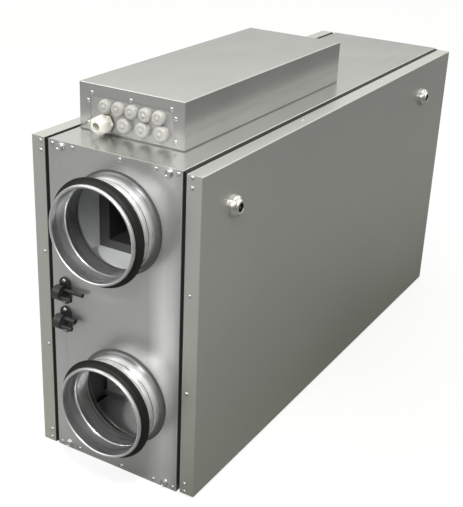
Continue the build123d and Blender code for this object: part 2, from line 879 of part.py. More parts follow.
def filter_box():
    """Low and high corners of the front filter in X and Z."""
    x0 = -inner_x + filter_side_gap
    x1 = frame_x - filter_side_gap
    z0 = floor_z + rail_sheet
    z1 = middle_z - divider_sheet / 2 - rail_sheet
    return x0, x1, z0, z1


def pleats(x0, x1, y0, y1):
    """Zigzag of the filter paper as a face in plan."""
    count = int((x1 - x0) / pleat_pitch)
    pitch = (x1 - x0) / count
    folds = (y0, y1 - pleat_fold)
    zig = [(x0 + pitch * i / 2, folds[i % 2]) for i in range(2 * count + 1)]
    back = [(x, y + pleat_fold) for x, y in reversed(zig)]
    return make_face(Polyline(*[(x, y, 0) for x, y in zig + back], close=True))


def filter_cassette():
    """Pleated filter glued into its frame."""
    y0, y1 = filter_faces()
    x0, x1, z0, z1 = filter_box()
    f = filter_frame
    frame = block(x0, x1, y0, y1, z0, z1)
    frame -= block(x0 + f, x1 - f, y0 - cut_over, y1 + cut_over, z0 + f, z1 - f)
    f -= pleat_bite
    folded = pleats(x0 + f, x1 - f, y0 + pleat_recess, y1 - pleat_recess)
    return frame + Pos(0, 0, z0 + f) * extrude(folded, z1 - z0 - 2 * f, dir=(0, 0, 1))


def filter_rail(z, lip):
    """Channel that a filter slides in, on the floor or under the shelf."""
    y0, y1 = filter_faces()
    margin = rail_clearance + rail_sheet
    x0 = -inner_x + seat_clearance
    x1 = frame_x - sheet
    back = y0 - margin
    front = y1 + margin
    base_end = z + rail_sheet if lip > 0 else z - rail_sheet
    rail = block(x0, x1, back, front, min(z, base_end), max(z, base_end))
    for y in (back, front - rail_sheet):
        rail += block(x0, x1, y, y + rail_sheet, min(z, z + lip), max(z, z + lip))
    return rail


def filter_rails():
    lower = both_ends(filter_rail(floor_z, rail_lip))
    upper = both_ends(filter_rail(middle_z - divider_sheet / 2, -rail_lip))
    return Compound(children=lower + upper)


# ---- control box ----
def control_box_cover():
    cover = folded_tray(box_left, box_right_edge, box_front, box_rear, casing_height, box_top, "-z")
    half = gland_window_width / 2
    cover -= block(
        box_middle_x - half, box_middle_x + half, box_front - cut_over, box_front + sheet + cut_over / 2,
        casing_height + gland_window_sill, casing_height + gland_window_top,
    )
    return cut_at(cover, box_rivet_places(), rivet_shank_radius)


def cut_at(piece, places, radius):
    """Round holes along Y through the front of the control box at (x, height over the casing) places."""
    for x, h in places:
        start = (x, box_front - cut_over, casing_height + h)
        piece -= rod(start, (0, 1, 0), radius, 2 * (sheet + cut_over))
    return piece


def control_box_base():
    """Shallow tray screwed to the casing's top, which the cover closes over."""
    gap = sheet + seat_clearance
    return folded_tray(
        box_left + gap, box_right_edge - gap, box_front + base_setback, box_rear - gap,
        casing_height, casing_height + base_height, "+z",
    )


def small_gland_places():
    middle = box_middle_x + gland_row_shift
    return [(middle + small_gland_pitch * i, small_gland_height) for i in (-2, -1, 0, 1, 2)]


def large_gland_places():
    middle = box_middle_x + large_gland_row_shift
    return [(middle + large_gland_pitch * i, large_gland_height) for i in (-1, 0, 1)]


def cable_gland_place():
    return (box_middle_x - cable_gland_x, cable_gland_height)


def gland_plate():
    half = gland_window_width / 2 + gland_plate_margin
    top = casing_height + gland_window_top + gland_plate_margin
    low = casing_height + sheet + seat_clearance
    plate = block(box_middle_x - half, box_middle_x + half, gland_face, gland_face + sheet, low, top)
    plate = cut_at(plate, gland_places(), gland_thread_radius)
    return cut_at(plate, box_rivet_places(), rivet_shank_radius)


def gland_places():
    return small_gland_places() + large_gland_places() + [cable_gland_place()]


def blind_gland(x, h, radius):
    """Soft blanking gland: rounded cap with a raised centre, and its thread."""
    end = gland_proud
    section = [
        (0, end), (3.0, end - 0.4), (3.8, end - 2.0), (radius - 3.2, end - 2.0), (radius - 1.0, end - 3.6),
        (radius, end - 6.0), (radius, 0), (gland_thread_radius - 0.1, 0),
        (gland_thread_radius - 0.1, -gland_thread_length), (0, -gland_thread_length),
    ]
    return ring_of_section(section, (x, gland_face, casing_height + h), (0, -1, 0))


def small_blind_glands():
    return Compound(children=[blind_gland(x, h, small_gland_radius) for x, h in small_gland_places()])


def large_blind_glands():
    return Compound(children=[blind_gland(x, h, large_gland_radius) for x, h in large_gland_places()])


def gland_locknuts():
    """Locknuts behind the gland plate, one to each gland."""
    nuts = []
    for x, h in gland_places():
        start = (x, gland_face + sheet, casing_height + h)
        nut = hexagon_rod(start, (0, 1, 0), locknut_flats, locknut_thickness)
        nuts.append(nut - rod(start, (0, 1, 0), gland_thread_radius, locknut_thickness))
    return Compound(children=nuts)


def cable_gland_seal():
    x, h = cable_gland_place()
    r = gland_seal_radius
    t = gland_seal_thickness
    section = [(gland_thread_radius, 0), (r, 0), (r, t), (gland_thread_radius, t)]
    return ring_of_section(section, (x, gland_face, casing_height + h), (0, -1, 0))


def cable_gland_body():
    """Threaded body with its hexagon in front of the plate, and the neck that the cap nut closes."""
    x, h = cable_gland_place()
    start = (x, gland_face - gland_seal_thickness, casing_height + h)
    inside = gland_seal_thickness + gland_thread_length
    body = hexagon_rod(start, (0, -1, 0), cable_gland_flats - cut_over, cable_gland_base)
    body += rod(start, (0, -1, 0), cable_gland_neck_radius, cable_gland_neck_length)
    body += rod(start, (0, 1, 0), gland_thread_radius - 0.1, inside)
    low = gland_face - gland_seal_thickness - cable_gland_neck_length
    start = (x, low, casing_height + h)
    return body - rod(start, (0, 1, 0), cable_gland_bore, cable_gland_neck_length + inside)


def cable_gland_nut():
    """Domed six-sided cap nut of the cable gland."""
    x, h = cable_gland_place()
    start = (x, gland_face - cap_nut_stand, casing_height + h)
    length = cap_nut_length
    bar = hexagon_rod(start, (0, -1, 0), cable_gland_flats, length)
    r = cable_gland_flats / cos(pi / 6)
    shoulder = [(r, 0), (r, length - 8.5), (r - 1.6, length - 5.0)]
    shoulder += [(r - 4.6, length - 1.9), (r - 7.4, length)]
    dome = ring_of_section([(0, 0)] + shoulder + [(0, length)], start, (0, -1, 0))
    nut = bar & dome
    nut -= rod(start, (0, -1, 0), cable_gland_neck_radius + hole_clearance, cap_nut_socket)
    return nut - rod(start, (0, -1, 0), cable_gland_bore, length)


def control_board():
    """Circuit board on four posts, with its rows of terminals and its relays soldered on."""
    x0 = box_middle_x - board_width / 2
    x1 = x0 + board_width
    y0 = box_front + board_setback
    y1 = y0 + board_length
    base = casing_height + sheet
    z = base + board_height
    board = block(x0, x1, y0, y1, z, z + board_thickness)
    for x in (x0 + board_post_inset, x1 - board_post_inset):
        for y in (y0 + board_post_inset, y1 - board_post_inset):
            board += rod((x, y, base), (0, 0, 1), board_post_radius, board_height + board_thickness / 2)
    for i in range(4):
        y = y0 + relay_start + relay_pitch * i
        board += block(x0 + 15, x0 + 45, y, y + 30, z + board_thickness / 2, z + relay_height)
    for i in range(3):
        y = y0 + 4 + terminal_pitch * i
        board += block(x0 + 16, x1 - 16, y, y + 10, z + board_thickness / 2, z + terminal_height)
    return board


# ---- service door ----
def hinge_places():
    return [-(end_y - hinge_from_end), end_y - hinge_from_end]


def latch_places():
    return [front_latch_y, rear_latch_y]


def cut_for_ironmongery(piece, radius):
    """Latch holes and hinge notches through a piece of the door."""
    for y in latch_places():
        piece -= rod((inner_x - cut_over, y, latch_z), (1, 0, 0), radius, panel_thickness + 2 * cut_over)
    half = hinge_notch_length / 2
    for y in hinge_places():
        piece -= block(inner_x - cut_over, side_x - sheet, y - half, y + half, 0, hinge_notch_height)
    return piece


def door_skin():
    """Outer tray of the door with a knuckle for each hinge."""
    tray = folded_tray(inner_x + sheet, side_x, -end_y, end_y, door_edge_gap, door_top, "-x")
    tray = cut_for_ironmongery(tray, latch_shank_radius + hole_clearance)
    tray = panel_rivet_holes(tray, 1)
    half = hinge_leaf / 2 + sheet
    for y in hinge_places():
        start = y + seat_clearance
        end = start + knuckle_length
        tray += block(hinge_x, side_x - sheet / 2, start, end, hinge_z - half, hinge_z + half)
        tray += rod((hinge_x, start, hinge_z), (0, 1, 0), hinge_barrel_radius, knuckle_length)
        pin_hole = hinge_pin_radius + running_clearance
        tray -= rod((hinge_x, y, hinge_z), (0, 1, 0), pin_hole, 2 * knuckle_length)
    return tray


def door_insulation():
    slab = block(
        inner_x + sheet, side_x - sheet, -end_y + sheet, end_y - sheet,
        door_edge_gap + sheet, door_top - sheet,
    )
    return clear_panel_rivets(cut_for_ironmongery(slab, latch_shank_radius + 2 * hole_clearance), 1)


def door_liner():
    plate = block(inner_x, inner_x + sheet, -end_y, end_y, door_edge_gap, door_top)
    return cut_for_ironmongery(plate, latch_shank_radius + hole_clearance)


def hinge_brackets():
    """Leaf on the casing, arm and barrel, with the fixed pin that the door's knuckle turns on."""
    length = knuckle_length
    half = hinge_leaf / 2
    brackets = []
    for y in hinge_places():
        y0 = y - length
        leaf = block(frame_x, frame_x + hinge_leaf, y0, y, sheet, hinge_z + half)
        arm = block(frame_x, hinge_x, y0, y, hinge_z - half, hinge_z + half)
        barrel = rod((hinge_x, y0, hinge_z), (0, 1, 0), hinge_barrel_radius, length)
        pin = rod((hinge_x, y0, hinge_z), (0, 1, 0), hinge_pin_radius, 2 * length - sheet)
        brackets.append(leaf + arm + barrel + pin)
    return Compound(children=brackets)


def latch_housings():
    """Chromed bezels with their hollow shanks through the door."""
    r = latch_bezel_radius
    h = latch_bezel_height
    bore = latch_insert_radius + running_clearance
    back = -(panel_thickness + latch_nut_thickness + sheet)
    section = [
        (bore, back), (bore, h), (r - 7.5, h), (r - 6.0, h - 0.6), (r - 3.6, h - 4.0), (r - 1.6, h - 8.6),
        (r, h - 10.4), (r, 0), (latch_shank_radius, 0), (latch_shank_radius, back),
    ]
    housings = [ring_of_section(section, (side_x, y, latch_z), (1, 0, 0)) for y in latch_places()]
    return Compound(children=housings)


def latch_nuts():
    nuts = []
    for y in latch_places():
        start = (inner_x, y, latch_z)
        nut = hexagon_rod(start, (-1, 0, 0), latch_shank_radius + latch_nut_thickness, latch_nut_thickness)
        nuts.append(nut - rod(start, (-1, 0, 0), latch_shank_radius, latch_nut_thickness))
    return Compound(children=nuts)


def latch_barrel(y, towards):
    """Turning barrel with a triangular key stud in its recess and its cam upset on the inner end."""
    face = side_x + latch_bezel_height - latch_insert_sink
    recess_floor = face - latch_recess_depth
    barrel = rod((cam_x, y, latch_z), (1, 0, 0), latch_insert_radius, face - cam_x)
    recess_radius = latch_insert_radius - latch_recess_wall
    barrel -= rod((recess_floor, y, latch_z), (1, 0, 0), recess_radius, latch_recess_depth)
    plane = Plane(origin=(recess_floor - sheet, y, latch_z), z_dir=(1, 0, 0))
    stud = extrude(plane * RegularPolygon(latch_stud_radius, 3), latch_recess_depth)
    return barrel + stud + latch_cam(y, towards)


def latch_cam(y, towards):
    """Flat cam on the inner end of the barrel, lying along the door at rest."""
    x1 = cam_x
    x0 = x1 - cam_thickness
    half = cam_width / 2
    tip = y + towards * cam_length
    plate = block(x0, x1, min(y, tip), max(y, tip), latch_z - half, latch_z + half)
    plate += rod((x0, y, latch_z), (1, 0, 0), half, cam_thickness)
    screw = hexagon_rod((x0, y, latch_z), (-1, 0, 0), latch_insert_radius - cam_thickness, latch_screw_height)
    return plate + screw


def latch_keepers():
    """Angle brackets under the casing's inner ceiling, which the turned cams catch behind."""
    keepers = []
    x0 = cam_x + keeper_gap
    for y in latch_places():
        half = keeper_width / 2
        lip = block(x0, x0 + keeper_sheet, y - half, y + half, ceiling_z - keeper_drop, ceiling_z)
        foot = block(x0, x0 + keeper_foot, y - half, y + half, ceiling_z - keeper_sheet, ceiling_z)
        keepers.append(lip + foot)
    return Compound(children=keepers)


# ---- fasteners ----
def casing_rivets():
    """Every blind rivet of the casing, the left panel and the gland plate."""
    rivets = []
    left_x = -(inner_x + panel_rivet_inset)
    for x, z in frame_rivet_places() + [(left_x, z) for z in panel_rivet_heights_all()]:
        rivets += both_ends(rivet((x, -end_y, z), (0, -1, 0)))
    for y in (-edge_rivet_half_spacing, edge_rivet_half_spacing):
        rivets.append(rivet((left_x, y, casing_height), (0, 0, 1)))
    for x, h in box_rivet_places():
        rivets.append(rivet((x, box_front, casing_height + h), (0, -1, 0)))
    return Compound(children=rivets)


def door_rivets():
    rivets = []
    x = inner_x + panel_rivet_inset
    for z in panel_rivet_heights_all():
        rivets += both_ends(rivet((x, -end_y, z), (0, -1, 0)))
    for y in (-edge_rivet_half_spacing, edge_rivet_half_spacing):
        rivets.append(rivet((x, y, door_top), (0, 0, 1)))
    return Compound(children=rivets)


def corner_screws():
    """Hexagon screws with a washer face at the corners of both end plates."""
    screws = []
    for x, z in frame_screw_places():
        start = (x, -end_y, z)
        screw = rod(start, (0, -1, 0), screw_washer_radius, screw_washer_height)
        screw += hexagon_rod(start, (0, -1, 0), screw_flats / 2, screw_head_height)
        screw += rod(start, (0, 1, 0), screw_shank_radius, screw_shank_length)
        screws += both_ends(screw)
    return Compound(children=screws)


# ---- pressure ports ----
def pressure_port(z, far_radius, far_length):
    """Moulded tap: slotted flange on the end plate, drum and two nozzles that point across the casing."""
    face = Plane(origin=(port_x, -end_y, z), x_dir=(0, 0, 1), z_dir=(0, -1, 0))
    height = 2 * port_screw_offset + port_flange_width / 2
    port = extrude(face * SlotOverall(height, port_flange_width), port_flange_thickness)
    drum_x = port_x - port_drum_length * 0.7
    port += rod((drum_x, -end_y - port_drum_radius, z), (1, 0, 0), port_drum_radius, port_drum_length)
    nozzles = (
        (far_nozzle_stand, nozzle_half_step, far_radius, far_length),
        (near_nozzle_stand, -nozzle_half_step, nozzle_radius, near_nozzle_length),
    )
    for stand, rise, radius, length in nozzles:
        port += rod((port_x, -end_y - stand, z + rise), (1, 0, 0), radius, length)
        tip = (port_x + length - nozzle_bore_depth, -end_y - stand, z + rise)
        port -= rod(tip, (1, 0, 0), nozzle_bore, nozzle_bore_depth)
    for s in (-1, 1):
        port -= through_flange(z + s * port_screw_offset)
    return port


def through_flange(z):
    """A cutter for a screw hole in a pressure port's flange."""
    return rod((port_x, -end_y, z), (0, -1, 0), port_screw_hole_radius, port_flange_thickness)


def port_screws():
    """Small pan-head screws of the pressure ports."""
    screws = []
    for z in port_screw_places():
        start = (port_x, -end_y - port_flange_thickness, z)
        head = [(0, 2.6), (2.2, 2.4), (3.6, 1.4), (4.0, 0)]
        shank = [(port_screw_radius, 0), (port_screw_radius, -port_screw_length), (0, -port_screw_length)]
        screws.append(ring_of_section(head + shank, start, (0, -1, 0)))
    return Compound(children=screws)


def mirrored(solid):
    """The same piece at the rear end."""
    return mirror(solid, Plane.XZ)


nodes = {
    "casing_top": casing_top,
    "casing_bottom": casing_bottom,
    "front_end_plate": end_plate,
    "rear_end_plate": rear_end_plate,
    "casing_insulation": casing_insulation,
    "inner_liner": inner_liner,
    "left_panel_skin": left_panel_skin,
    "left_panel_liner": left_panel_liner,
    "left_panel_gasket": left_panel_gasket,
    "door_gasket": door_gasket,
    "front_upper_spigot": lambda: spigot(upper_spigot_x, upper_spigot_z),
    "front_lower_spigot": lambda: spigot(lower_spigot_x, lower_spigot_height),
    "rear_upper_spigot": lambda: mirrored(spigot(upper_spigot_x, upper_spigot_z)),
    "rear_lower_spigot": lambda: mirrored(spigot(lower_spigot_x, lower_spigot_height)),
    "front_upper_seal": lambda: spigot_seal(upper_spigot_x, upper_spigot_z),
    "front_lower_seal": lambda: spigot_seal(lower_spigot_x, lower_spigot_height),
    "rear_upper_seal": lambda: mirrored(spigot_seal(upper_spigot_x, upper_spigot_z)),
    "rear_lower_seal": lambda: mirrored(spigot_seal(lower_spigot_x, lower_spigot_height)),
    "fan_outlet_sleeves": lambda: Compound(children=both_ends(outlet_sleeve())),
    "exhaust_fan_housing": fan_housing,
    "exhaust_fan_impeller": fan_impeller,
    "supply_fan_housing": lambda: mirrored(fan_housing()),
    "fan_motors": lambda: Compound(children=both_ends(fan_motor())),
    "supply_fan_impeller": lambda: mirrored(fan_impeller()),
    "exchanger_core": exchanger_core,
    "exchanger_end_covers": exchanger_end_covers,
    "exchanger_web": exchanger_web,
    "bypass_duct": bypass_duct,
    "bypass_blade": bypass_blade,
    "bypass_actuator": bypass_actuator,
    "chamber_dividers": lambda: Compound(children=both_ends(divider())),
    "drain_tray": drain_tray,
    "outdoor_air_filter": filter_cassette,
    "extract_air_filter": lambda: mirrored(filter_cassette()),
    "filter_rails": filter_rails,
    "control_box_base": control_box_base,
    "control_box_cover": control_box_cover,
    "gland_plate": gland_plate,
    "small_blind_glands": small_blind_glands,
    "large_blind_glands": large_blind_glands,
    "gland_locknuts": gland_locknuts,
    "cable_gland_seal": cable_gland_seal,
    "cable_gland_body": cable_gland_body,
    "cable_gland_nut": cable_gland_nut,
    "control_board": control_board,
    "door_skin": door_skin,
    "door_insulation": door_insulation,
    "door_liner": door_liner,
    "door_rivets": door_rivets,
    "hinge_brackets": hinge_brackets,
    "latch_housings": latch_housings,
    "latch_nuts": latch_nuts,
    "front_latch_barrel": lambda: latch_barrel(front_latch_y, 1),
    "rear_latch_barrel": lambda: latch_barrel(rear_latch_y, -1),
    "latch_keepers": latch_keepers,
    "casing_rivets": casing_rivets,
    "corner_screws": corner_screws,
    "upper_pressure_port": lambda: pressure_port(upper_port_height, nozzle_radius, far_nozzle_length),
    "lower_pressure_port": lambda: pressure_port(lower_port_height, stub_radius, stub_length),
    "port_screws": port_screws,
}


os.makedirs("parts", exist_ok=True)
for name, make in nodes.items():
    export_step(make(), f"parts/{name}.step")
    print("wrote", name)
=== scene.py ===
import json
import math

import bmesh
import bpy
from mathutils import Matrix, Vector


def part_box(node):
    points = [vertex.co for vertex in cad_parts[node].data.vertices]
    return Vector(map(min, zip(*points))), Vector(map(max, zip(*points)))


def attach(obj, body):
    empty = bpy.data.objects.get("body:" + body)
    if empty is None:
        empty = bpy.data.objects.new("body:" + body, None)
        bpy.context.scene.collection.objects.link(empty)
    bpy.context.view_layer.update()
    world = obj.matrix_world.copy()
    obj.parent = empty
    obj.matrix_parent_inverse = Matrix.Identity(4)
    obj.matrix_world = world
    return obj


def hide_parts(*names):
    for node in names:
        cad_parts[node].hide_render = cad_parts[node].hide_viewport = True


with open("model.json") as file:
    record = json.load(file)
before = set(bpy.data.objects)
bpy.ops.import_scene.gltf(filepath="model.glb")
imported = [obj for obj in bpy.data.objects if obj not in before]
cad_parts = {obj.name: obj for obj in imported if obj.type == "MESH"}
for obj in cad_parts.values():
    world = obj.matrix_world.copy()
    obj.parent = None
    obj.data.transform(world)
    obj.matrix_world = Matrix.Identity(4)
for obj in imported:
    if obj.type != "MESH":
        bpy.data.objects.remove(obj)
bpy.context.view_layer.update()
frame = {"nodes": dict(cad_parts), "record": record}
nodes = frame["nodes"]
print("frame loaded with", len(nodes), "nodes")

mm = 0.001
front, rear = Vector((0, -1, 0)), Vector((0, 1, 0))
right, up = Vector((1, 0, 0)), Vector((0, 0, 1))


class Wire:
    # one socket of a node tree, with arithmetic on it
    def __init__(self, tree, socket):
        self.tree = tree
        self.socket = socket

    def __add__(self, other):
        return self.tree.maths("ADD", self, other)

    def __radd__(self, other):
        return self.tree.maths("ADD", other, self)

    def __sub__(self, other):
        return self.tree.maths("SUBTRACT", self, other)

    def __rsub__(self, other):
        return self.tree.maths("SUBTRACT", other, self)

    def __mul__(self, other):
        return self.tree.maths("MULTIPLY", self, other)

    def __rmul__(self, other):
        return self.tree.maths("MULTIPLY", other, self)

    def __lt__(self, other):
        return self.tree.maths("LESS_THAN", self, other)

    def __gt__(self, other):
        return self.tree.maths("GREATER_THAN", self, other)

    def __abs__(self):
        return self.tree.maths("ABSOLUTE", self)


class NodeTree:
    # the nodes of a material or of the world, all made by the method add
    def __init__(self, owner):
        owner.use_nodes = True
        self.nodes, self.links = owner.node_tree.nodes, owner.node_tree.links
        self.nodes.clear()

    def plug(self, socket, value):
        if isinstance(value, Wire):
            self.links.new(value.socket, socket)
        elif socket.type == "VECTOR" and not isinstance(value, float):
            socket.default_value = value[:3]
        else:
            socket.default_value = value

    def add(self, kind, settings, *values, take=0, **named):
        node = self.nodes.new(kind)
        stops = settings.pop("stops", None)
        for key, value in settings.items():
            setattr(node, key, value)
        if stops:
            elements = node.color_ramp.elements
            while len(elements) < len(stops):
                elements.new(0.5)
            for element, (position, grey) in zip(elements, stops):
                element.position = position
                element.color = (grey, grey, grey, 1)
        for i, value in enumerate(values):
            if value is not None:
                self.plug(node.inputs[i], value)
        for key, value in named.items():
            self.plug(node.inputs[key.replace("_", " ")], value)
        return Wire(self, node.outputs[take]) if node.outputs else node

    def maths(self, operation, *values):
        return self.add("ShaderNodeMath", {"operation": operation}, *values)

    def coordinates(self, kind):
        return self.add("ShaderNodeTexCoord", {}, take=kind)

    def part(self, which, source=None):
        return self.add("ShaderNodeSeparateXYZ", {}, source or self.place, take=which)

    def ramp(self, value, *stops):
        return self.add("ShaderNodeValToRGB", {"stops": stops}, value)

    def blend(self, factor, first, second):
        unused = (None,) * 5  # the sockets between the factor and the two colours
        return self.add("ShaderNodeMix", {"data_type": "RGBA"}, factor, *unused, first, second, take=2)

    def shade(self, colour, factor):
        # a colour made darker and lighter by a factor round 1
        return self.add("ShaderNodeVectorMath", {"operation": "SCALE"}, colour, Scale=factor)


class Finish(NodeTree):
    # a material round one Principled shader; its constants are set on the shader's own sockets
    def __init__(self, name, **constants):
        self.material = bpy.data.materials.new(name)
        super().__init__(self.material)
        self.surface = self.add("ShaderNodeBsdfPrincipled", {})
        self.shader = self.surface.socket.node
        self.output = self.add("ShaderNodeOutputMaterial", {}, self.surface)
        for socket, value in constants.items():
            self.feed(socket, value)
        self.place = self.coordinates("Object")

    def feed(self, socket, value):
        self.plug(self.shader.inputs[socket.replace("_", " ")], value)

    def stretched(self, scale, source=None):
        return self.add("ShaderNodeMapping", {}, Vector=source or self.place, Scale=scale)

    def noise(self, scale, detail=2.0, rough=0.5, source=None):
        place = source or self.place
        return self.add("ShaderNodeTexNoise", {}, Vector=place, Scale=scale, Detail=detail, Roughness=rough)

    def flakes(self, scale):
        # one random value per crystal
        colour = self.add("ShaderNodeTexVoronoi", {}, Vector=self.place, Scale=scale, take="Color")
        return self.add("ShaderNodeSeparateColor", {}, colour)

    def bump(self, height, strength, distance):
        normal = self.add("ShaderNodeBump", {}, Height=height, Strength=strength, Distance=distance)
        self.feed("Normal", normal)


def rgb(r, g, b):
    return (r, g, b, 1.0)


# painted shadow in the gap round the foot of the control box: its height, and its reach and end in mm up and
# down
footShadowLine = {"height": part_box("control_box_cover")[0].z + 1.1 * mm, "reach": 0.7, "end": 1.0, "dark": 0.30}


def paintedFootShade(f):
    # painted shadow: darkens a thin band at the foot of the control box, where the joint gap would be in
    # shade
    apart = abs(f.part("Z") - footShadowLine["height"]) * 1000.0
    dark = footShadowLine["dark"]
    return f.ramp(apart, (0.0, dark), (footShadowLine["reach"], dark), (footShadowLine["end"], 1.0))


# painted reflection: the brighter band where an end plate turns in at the door side
plateReflectionBand = {
    "ripple": 0.02,
    "across": ((0.0, 0.0), (0.74, 0.0), (0.83, 0.85), (0.88, 0.60), (0.92, 0.0)),
    "upwards": ((0.05, 0.45), (0.3, 1.0), (0.5, 0.3)),
}


def paintedReflectionBand(f):
    # painted reflection: lightens the base colour in a band near the door-side edge, as if it mirrored
    # something bright
    across = (f.part("X") + f.noise(4.0) * plateReflectionBand["ripple"]) * 3.0 + 0.5
    return 1.0 + f.ramp(across, *plateReflectionBand["across"]) * f.ramp(f.part("Z"), *plateReflectionBand["upwards"])


def galvanised(name, tone, rough, grain=(1, 1, 60), metal=0.92, extras=()):
    # zinc-coated sheet: soft clouds, a faint crystal pattern and fine rolling lines
    f = Finish(name, Metallic=metal)
    clouds = f.noise(5.0, 3.0)
    swell = f.noise(3.6, 1.0)
    flakes = f.flakes(210.0)
    lines = f.noise(9.0, 2.0, 0.5, f.stretched(grain))
    marks = 0.88 + 0.16 * clouds + 0.02 * flakes + 0.05 * lines
    # extras multiply in painted shadow at the control box foot and a painted reflection band on the end
    # plates
    for extra in extras:
        marks = marks * extra(f)
    f.feed("Base Color", f.shade(tone, marks))
    f.feed("Roughness", rough - 0.04 + 0.006 * flakes + 0.08 * clouds + 0.04 * lines)
    f.bump(swell * 0.13, 1.0, 0.004)
    return f.material


def coatedSheet(name, tone, low, rough):
    # satin coated panel: faint orange peel, drifting tone, and painted shade that darkens it towards the
    # floor
    f = Finish(name, Metallic=0.88, Coat_Weight=0.08, Coat_Roughness=0.2)
    drift = f.noise(2.6, 3.0, 0.55)
    scuff = f.noise(14.0, 5.0, 0.65, f.stretched((1.0, 1.0, 3.0)))
    peel = f.noise(900.0)
    # painted shade: blends towards the darker low tone near the floor, standing in for the shaded floor the
    # panel mirrors
    paintedShadeFade = f.ramp(f.part("Z") * 1.6, (0.0, 1.0), (0.45, 0.45), (1.0, 0.0))
    f.feed("Base Color", f.shade(f.blend(paintedShadeFade, tone, low), 0.93 + 0.10 * drift + 0.05 * scuff))
    f.feed("Roughness", rough + 0.08 * drift + 0.06 * scuff)
    f.bump(peel * 0.004 + drift * 0.25, 0.6, 0.002)
    return f.material


def rubber(name):
    f = Finish(name, Specular_IOR_Level=0.25)
    dust = f.noise(60.0, 4.0, 0.6)
    fine = f.noise(1400.0)
    f.feed("Base Color", f.blend(dust * 0.5, rgb(0.006, 0.006, 0.005), rgb(0.016, 0.015, 0.014)))
    f.feed("Roughness", 0.42 + 0.2 * dust)
    f.bump(fine * 0.1 + dust * 0.1, 0.5, 0.0006)
    return f.material


def mouldedPlastic(name, tone, rough, grainScale=900.0, **extra):
    f = Finish(name, **extra)
    patch = f.noise(22.0, 3.0)
    grain = f.noise(grainScale)
    f.feed("Base Color", f.shade(tone, 0.92 + 0.16 * patch))
    f.feed("Roughness", rough + 0.10 * patch)
    f.bump(grain * 0.1 + patch * 0.2, 0.4, 0.0008)
    return f.material


def polishedMetal(name, tone, rough):
    # chrome, nickel or bright zinc with fine wear
    f = Finish(name, Metallic=1.0)
    wear = f.noise(260.0, 4.0, 0.65)
    smear = f.noise(40.0, 3.0)
    f.feed("Base Color", f.shade(tone, 0.88 + 0.10 * smear + 0.05 * wear))
    f.feed("Roughness", rough + 0.10 * wear + 0.06 * smear)
    f.bump(wear * 0.08, 0.4, 0.0006)
    return f.material


def mineralWool(name):
    f = Finish(name, Roughness=0.95)
    fibres = f.noise(260.0, 5.0, 0.7, f.stretched((1.0, 0.35, 1.0)))
    lumps = f.noise(40.0, 3.0)
    f.feed("Base Color", f.blend(fibres, rgb(0.055, 0.055, 0.05), rgb(0.17, 0.165, 0.15)))
    f.bump(fibres * 0.6 + lumps, 0.8, 0.003)
    return f.material


def filterPaper(name):
    f = Finish(name, Roughness=0.9)
    fibres = f.noise(420.0, 5.0, 0.7)
    grime = f.noise(16.0, 4.0)
    f.feed("Base Color", f.blend(grime * 0.6, rgb(0.84, 0.85, 0.82), rgb(0.64, 0.65, 0.62)))
    f.bump(fibres, 0.5, 0.0008)
    return f.material


def circuitBoard(name):
    f = Finish(name, Roughness=0.35, Coat_Weight=0.4)
    tracks = f.add("ShaderNodeTexBrick", {}, f.place, take="Fac", Scale=60.0)
    blotch = f.noise(30.0)
    f.feed("Base Color", f.blend(tracks * 0.5, rgb(0.03, 0.16, 0.08), rgb(0.07, 0.30, 0.16)))
    f.bump(tracks * 0.3 + blotch * 0.1, 0.4, 0.0004)
    return f.material


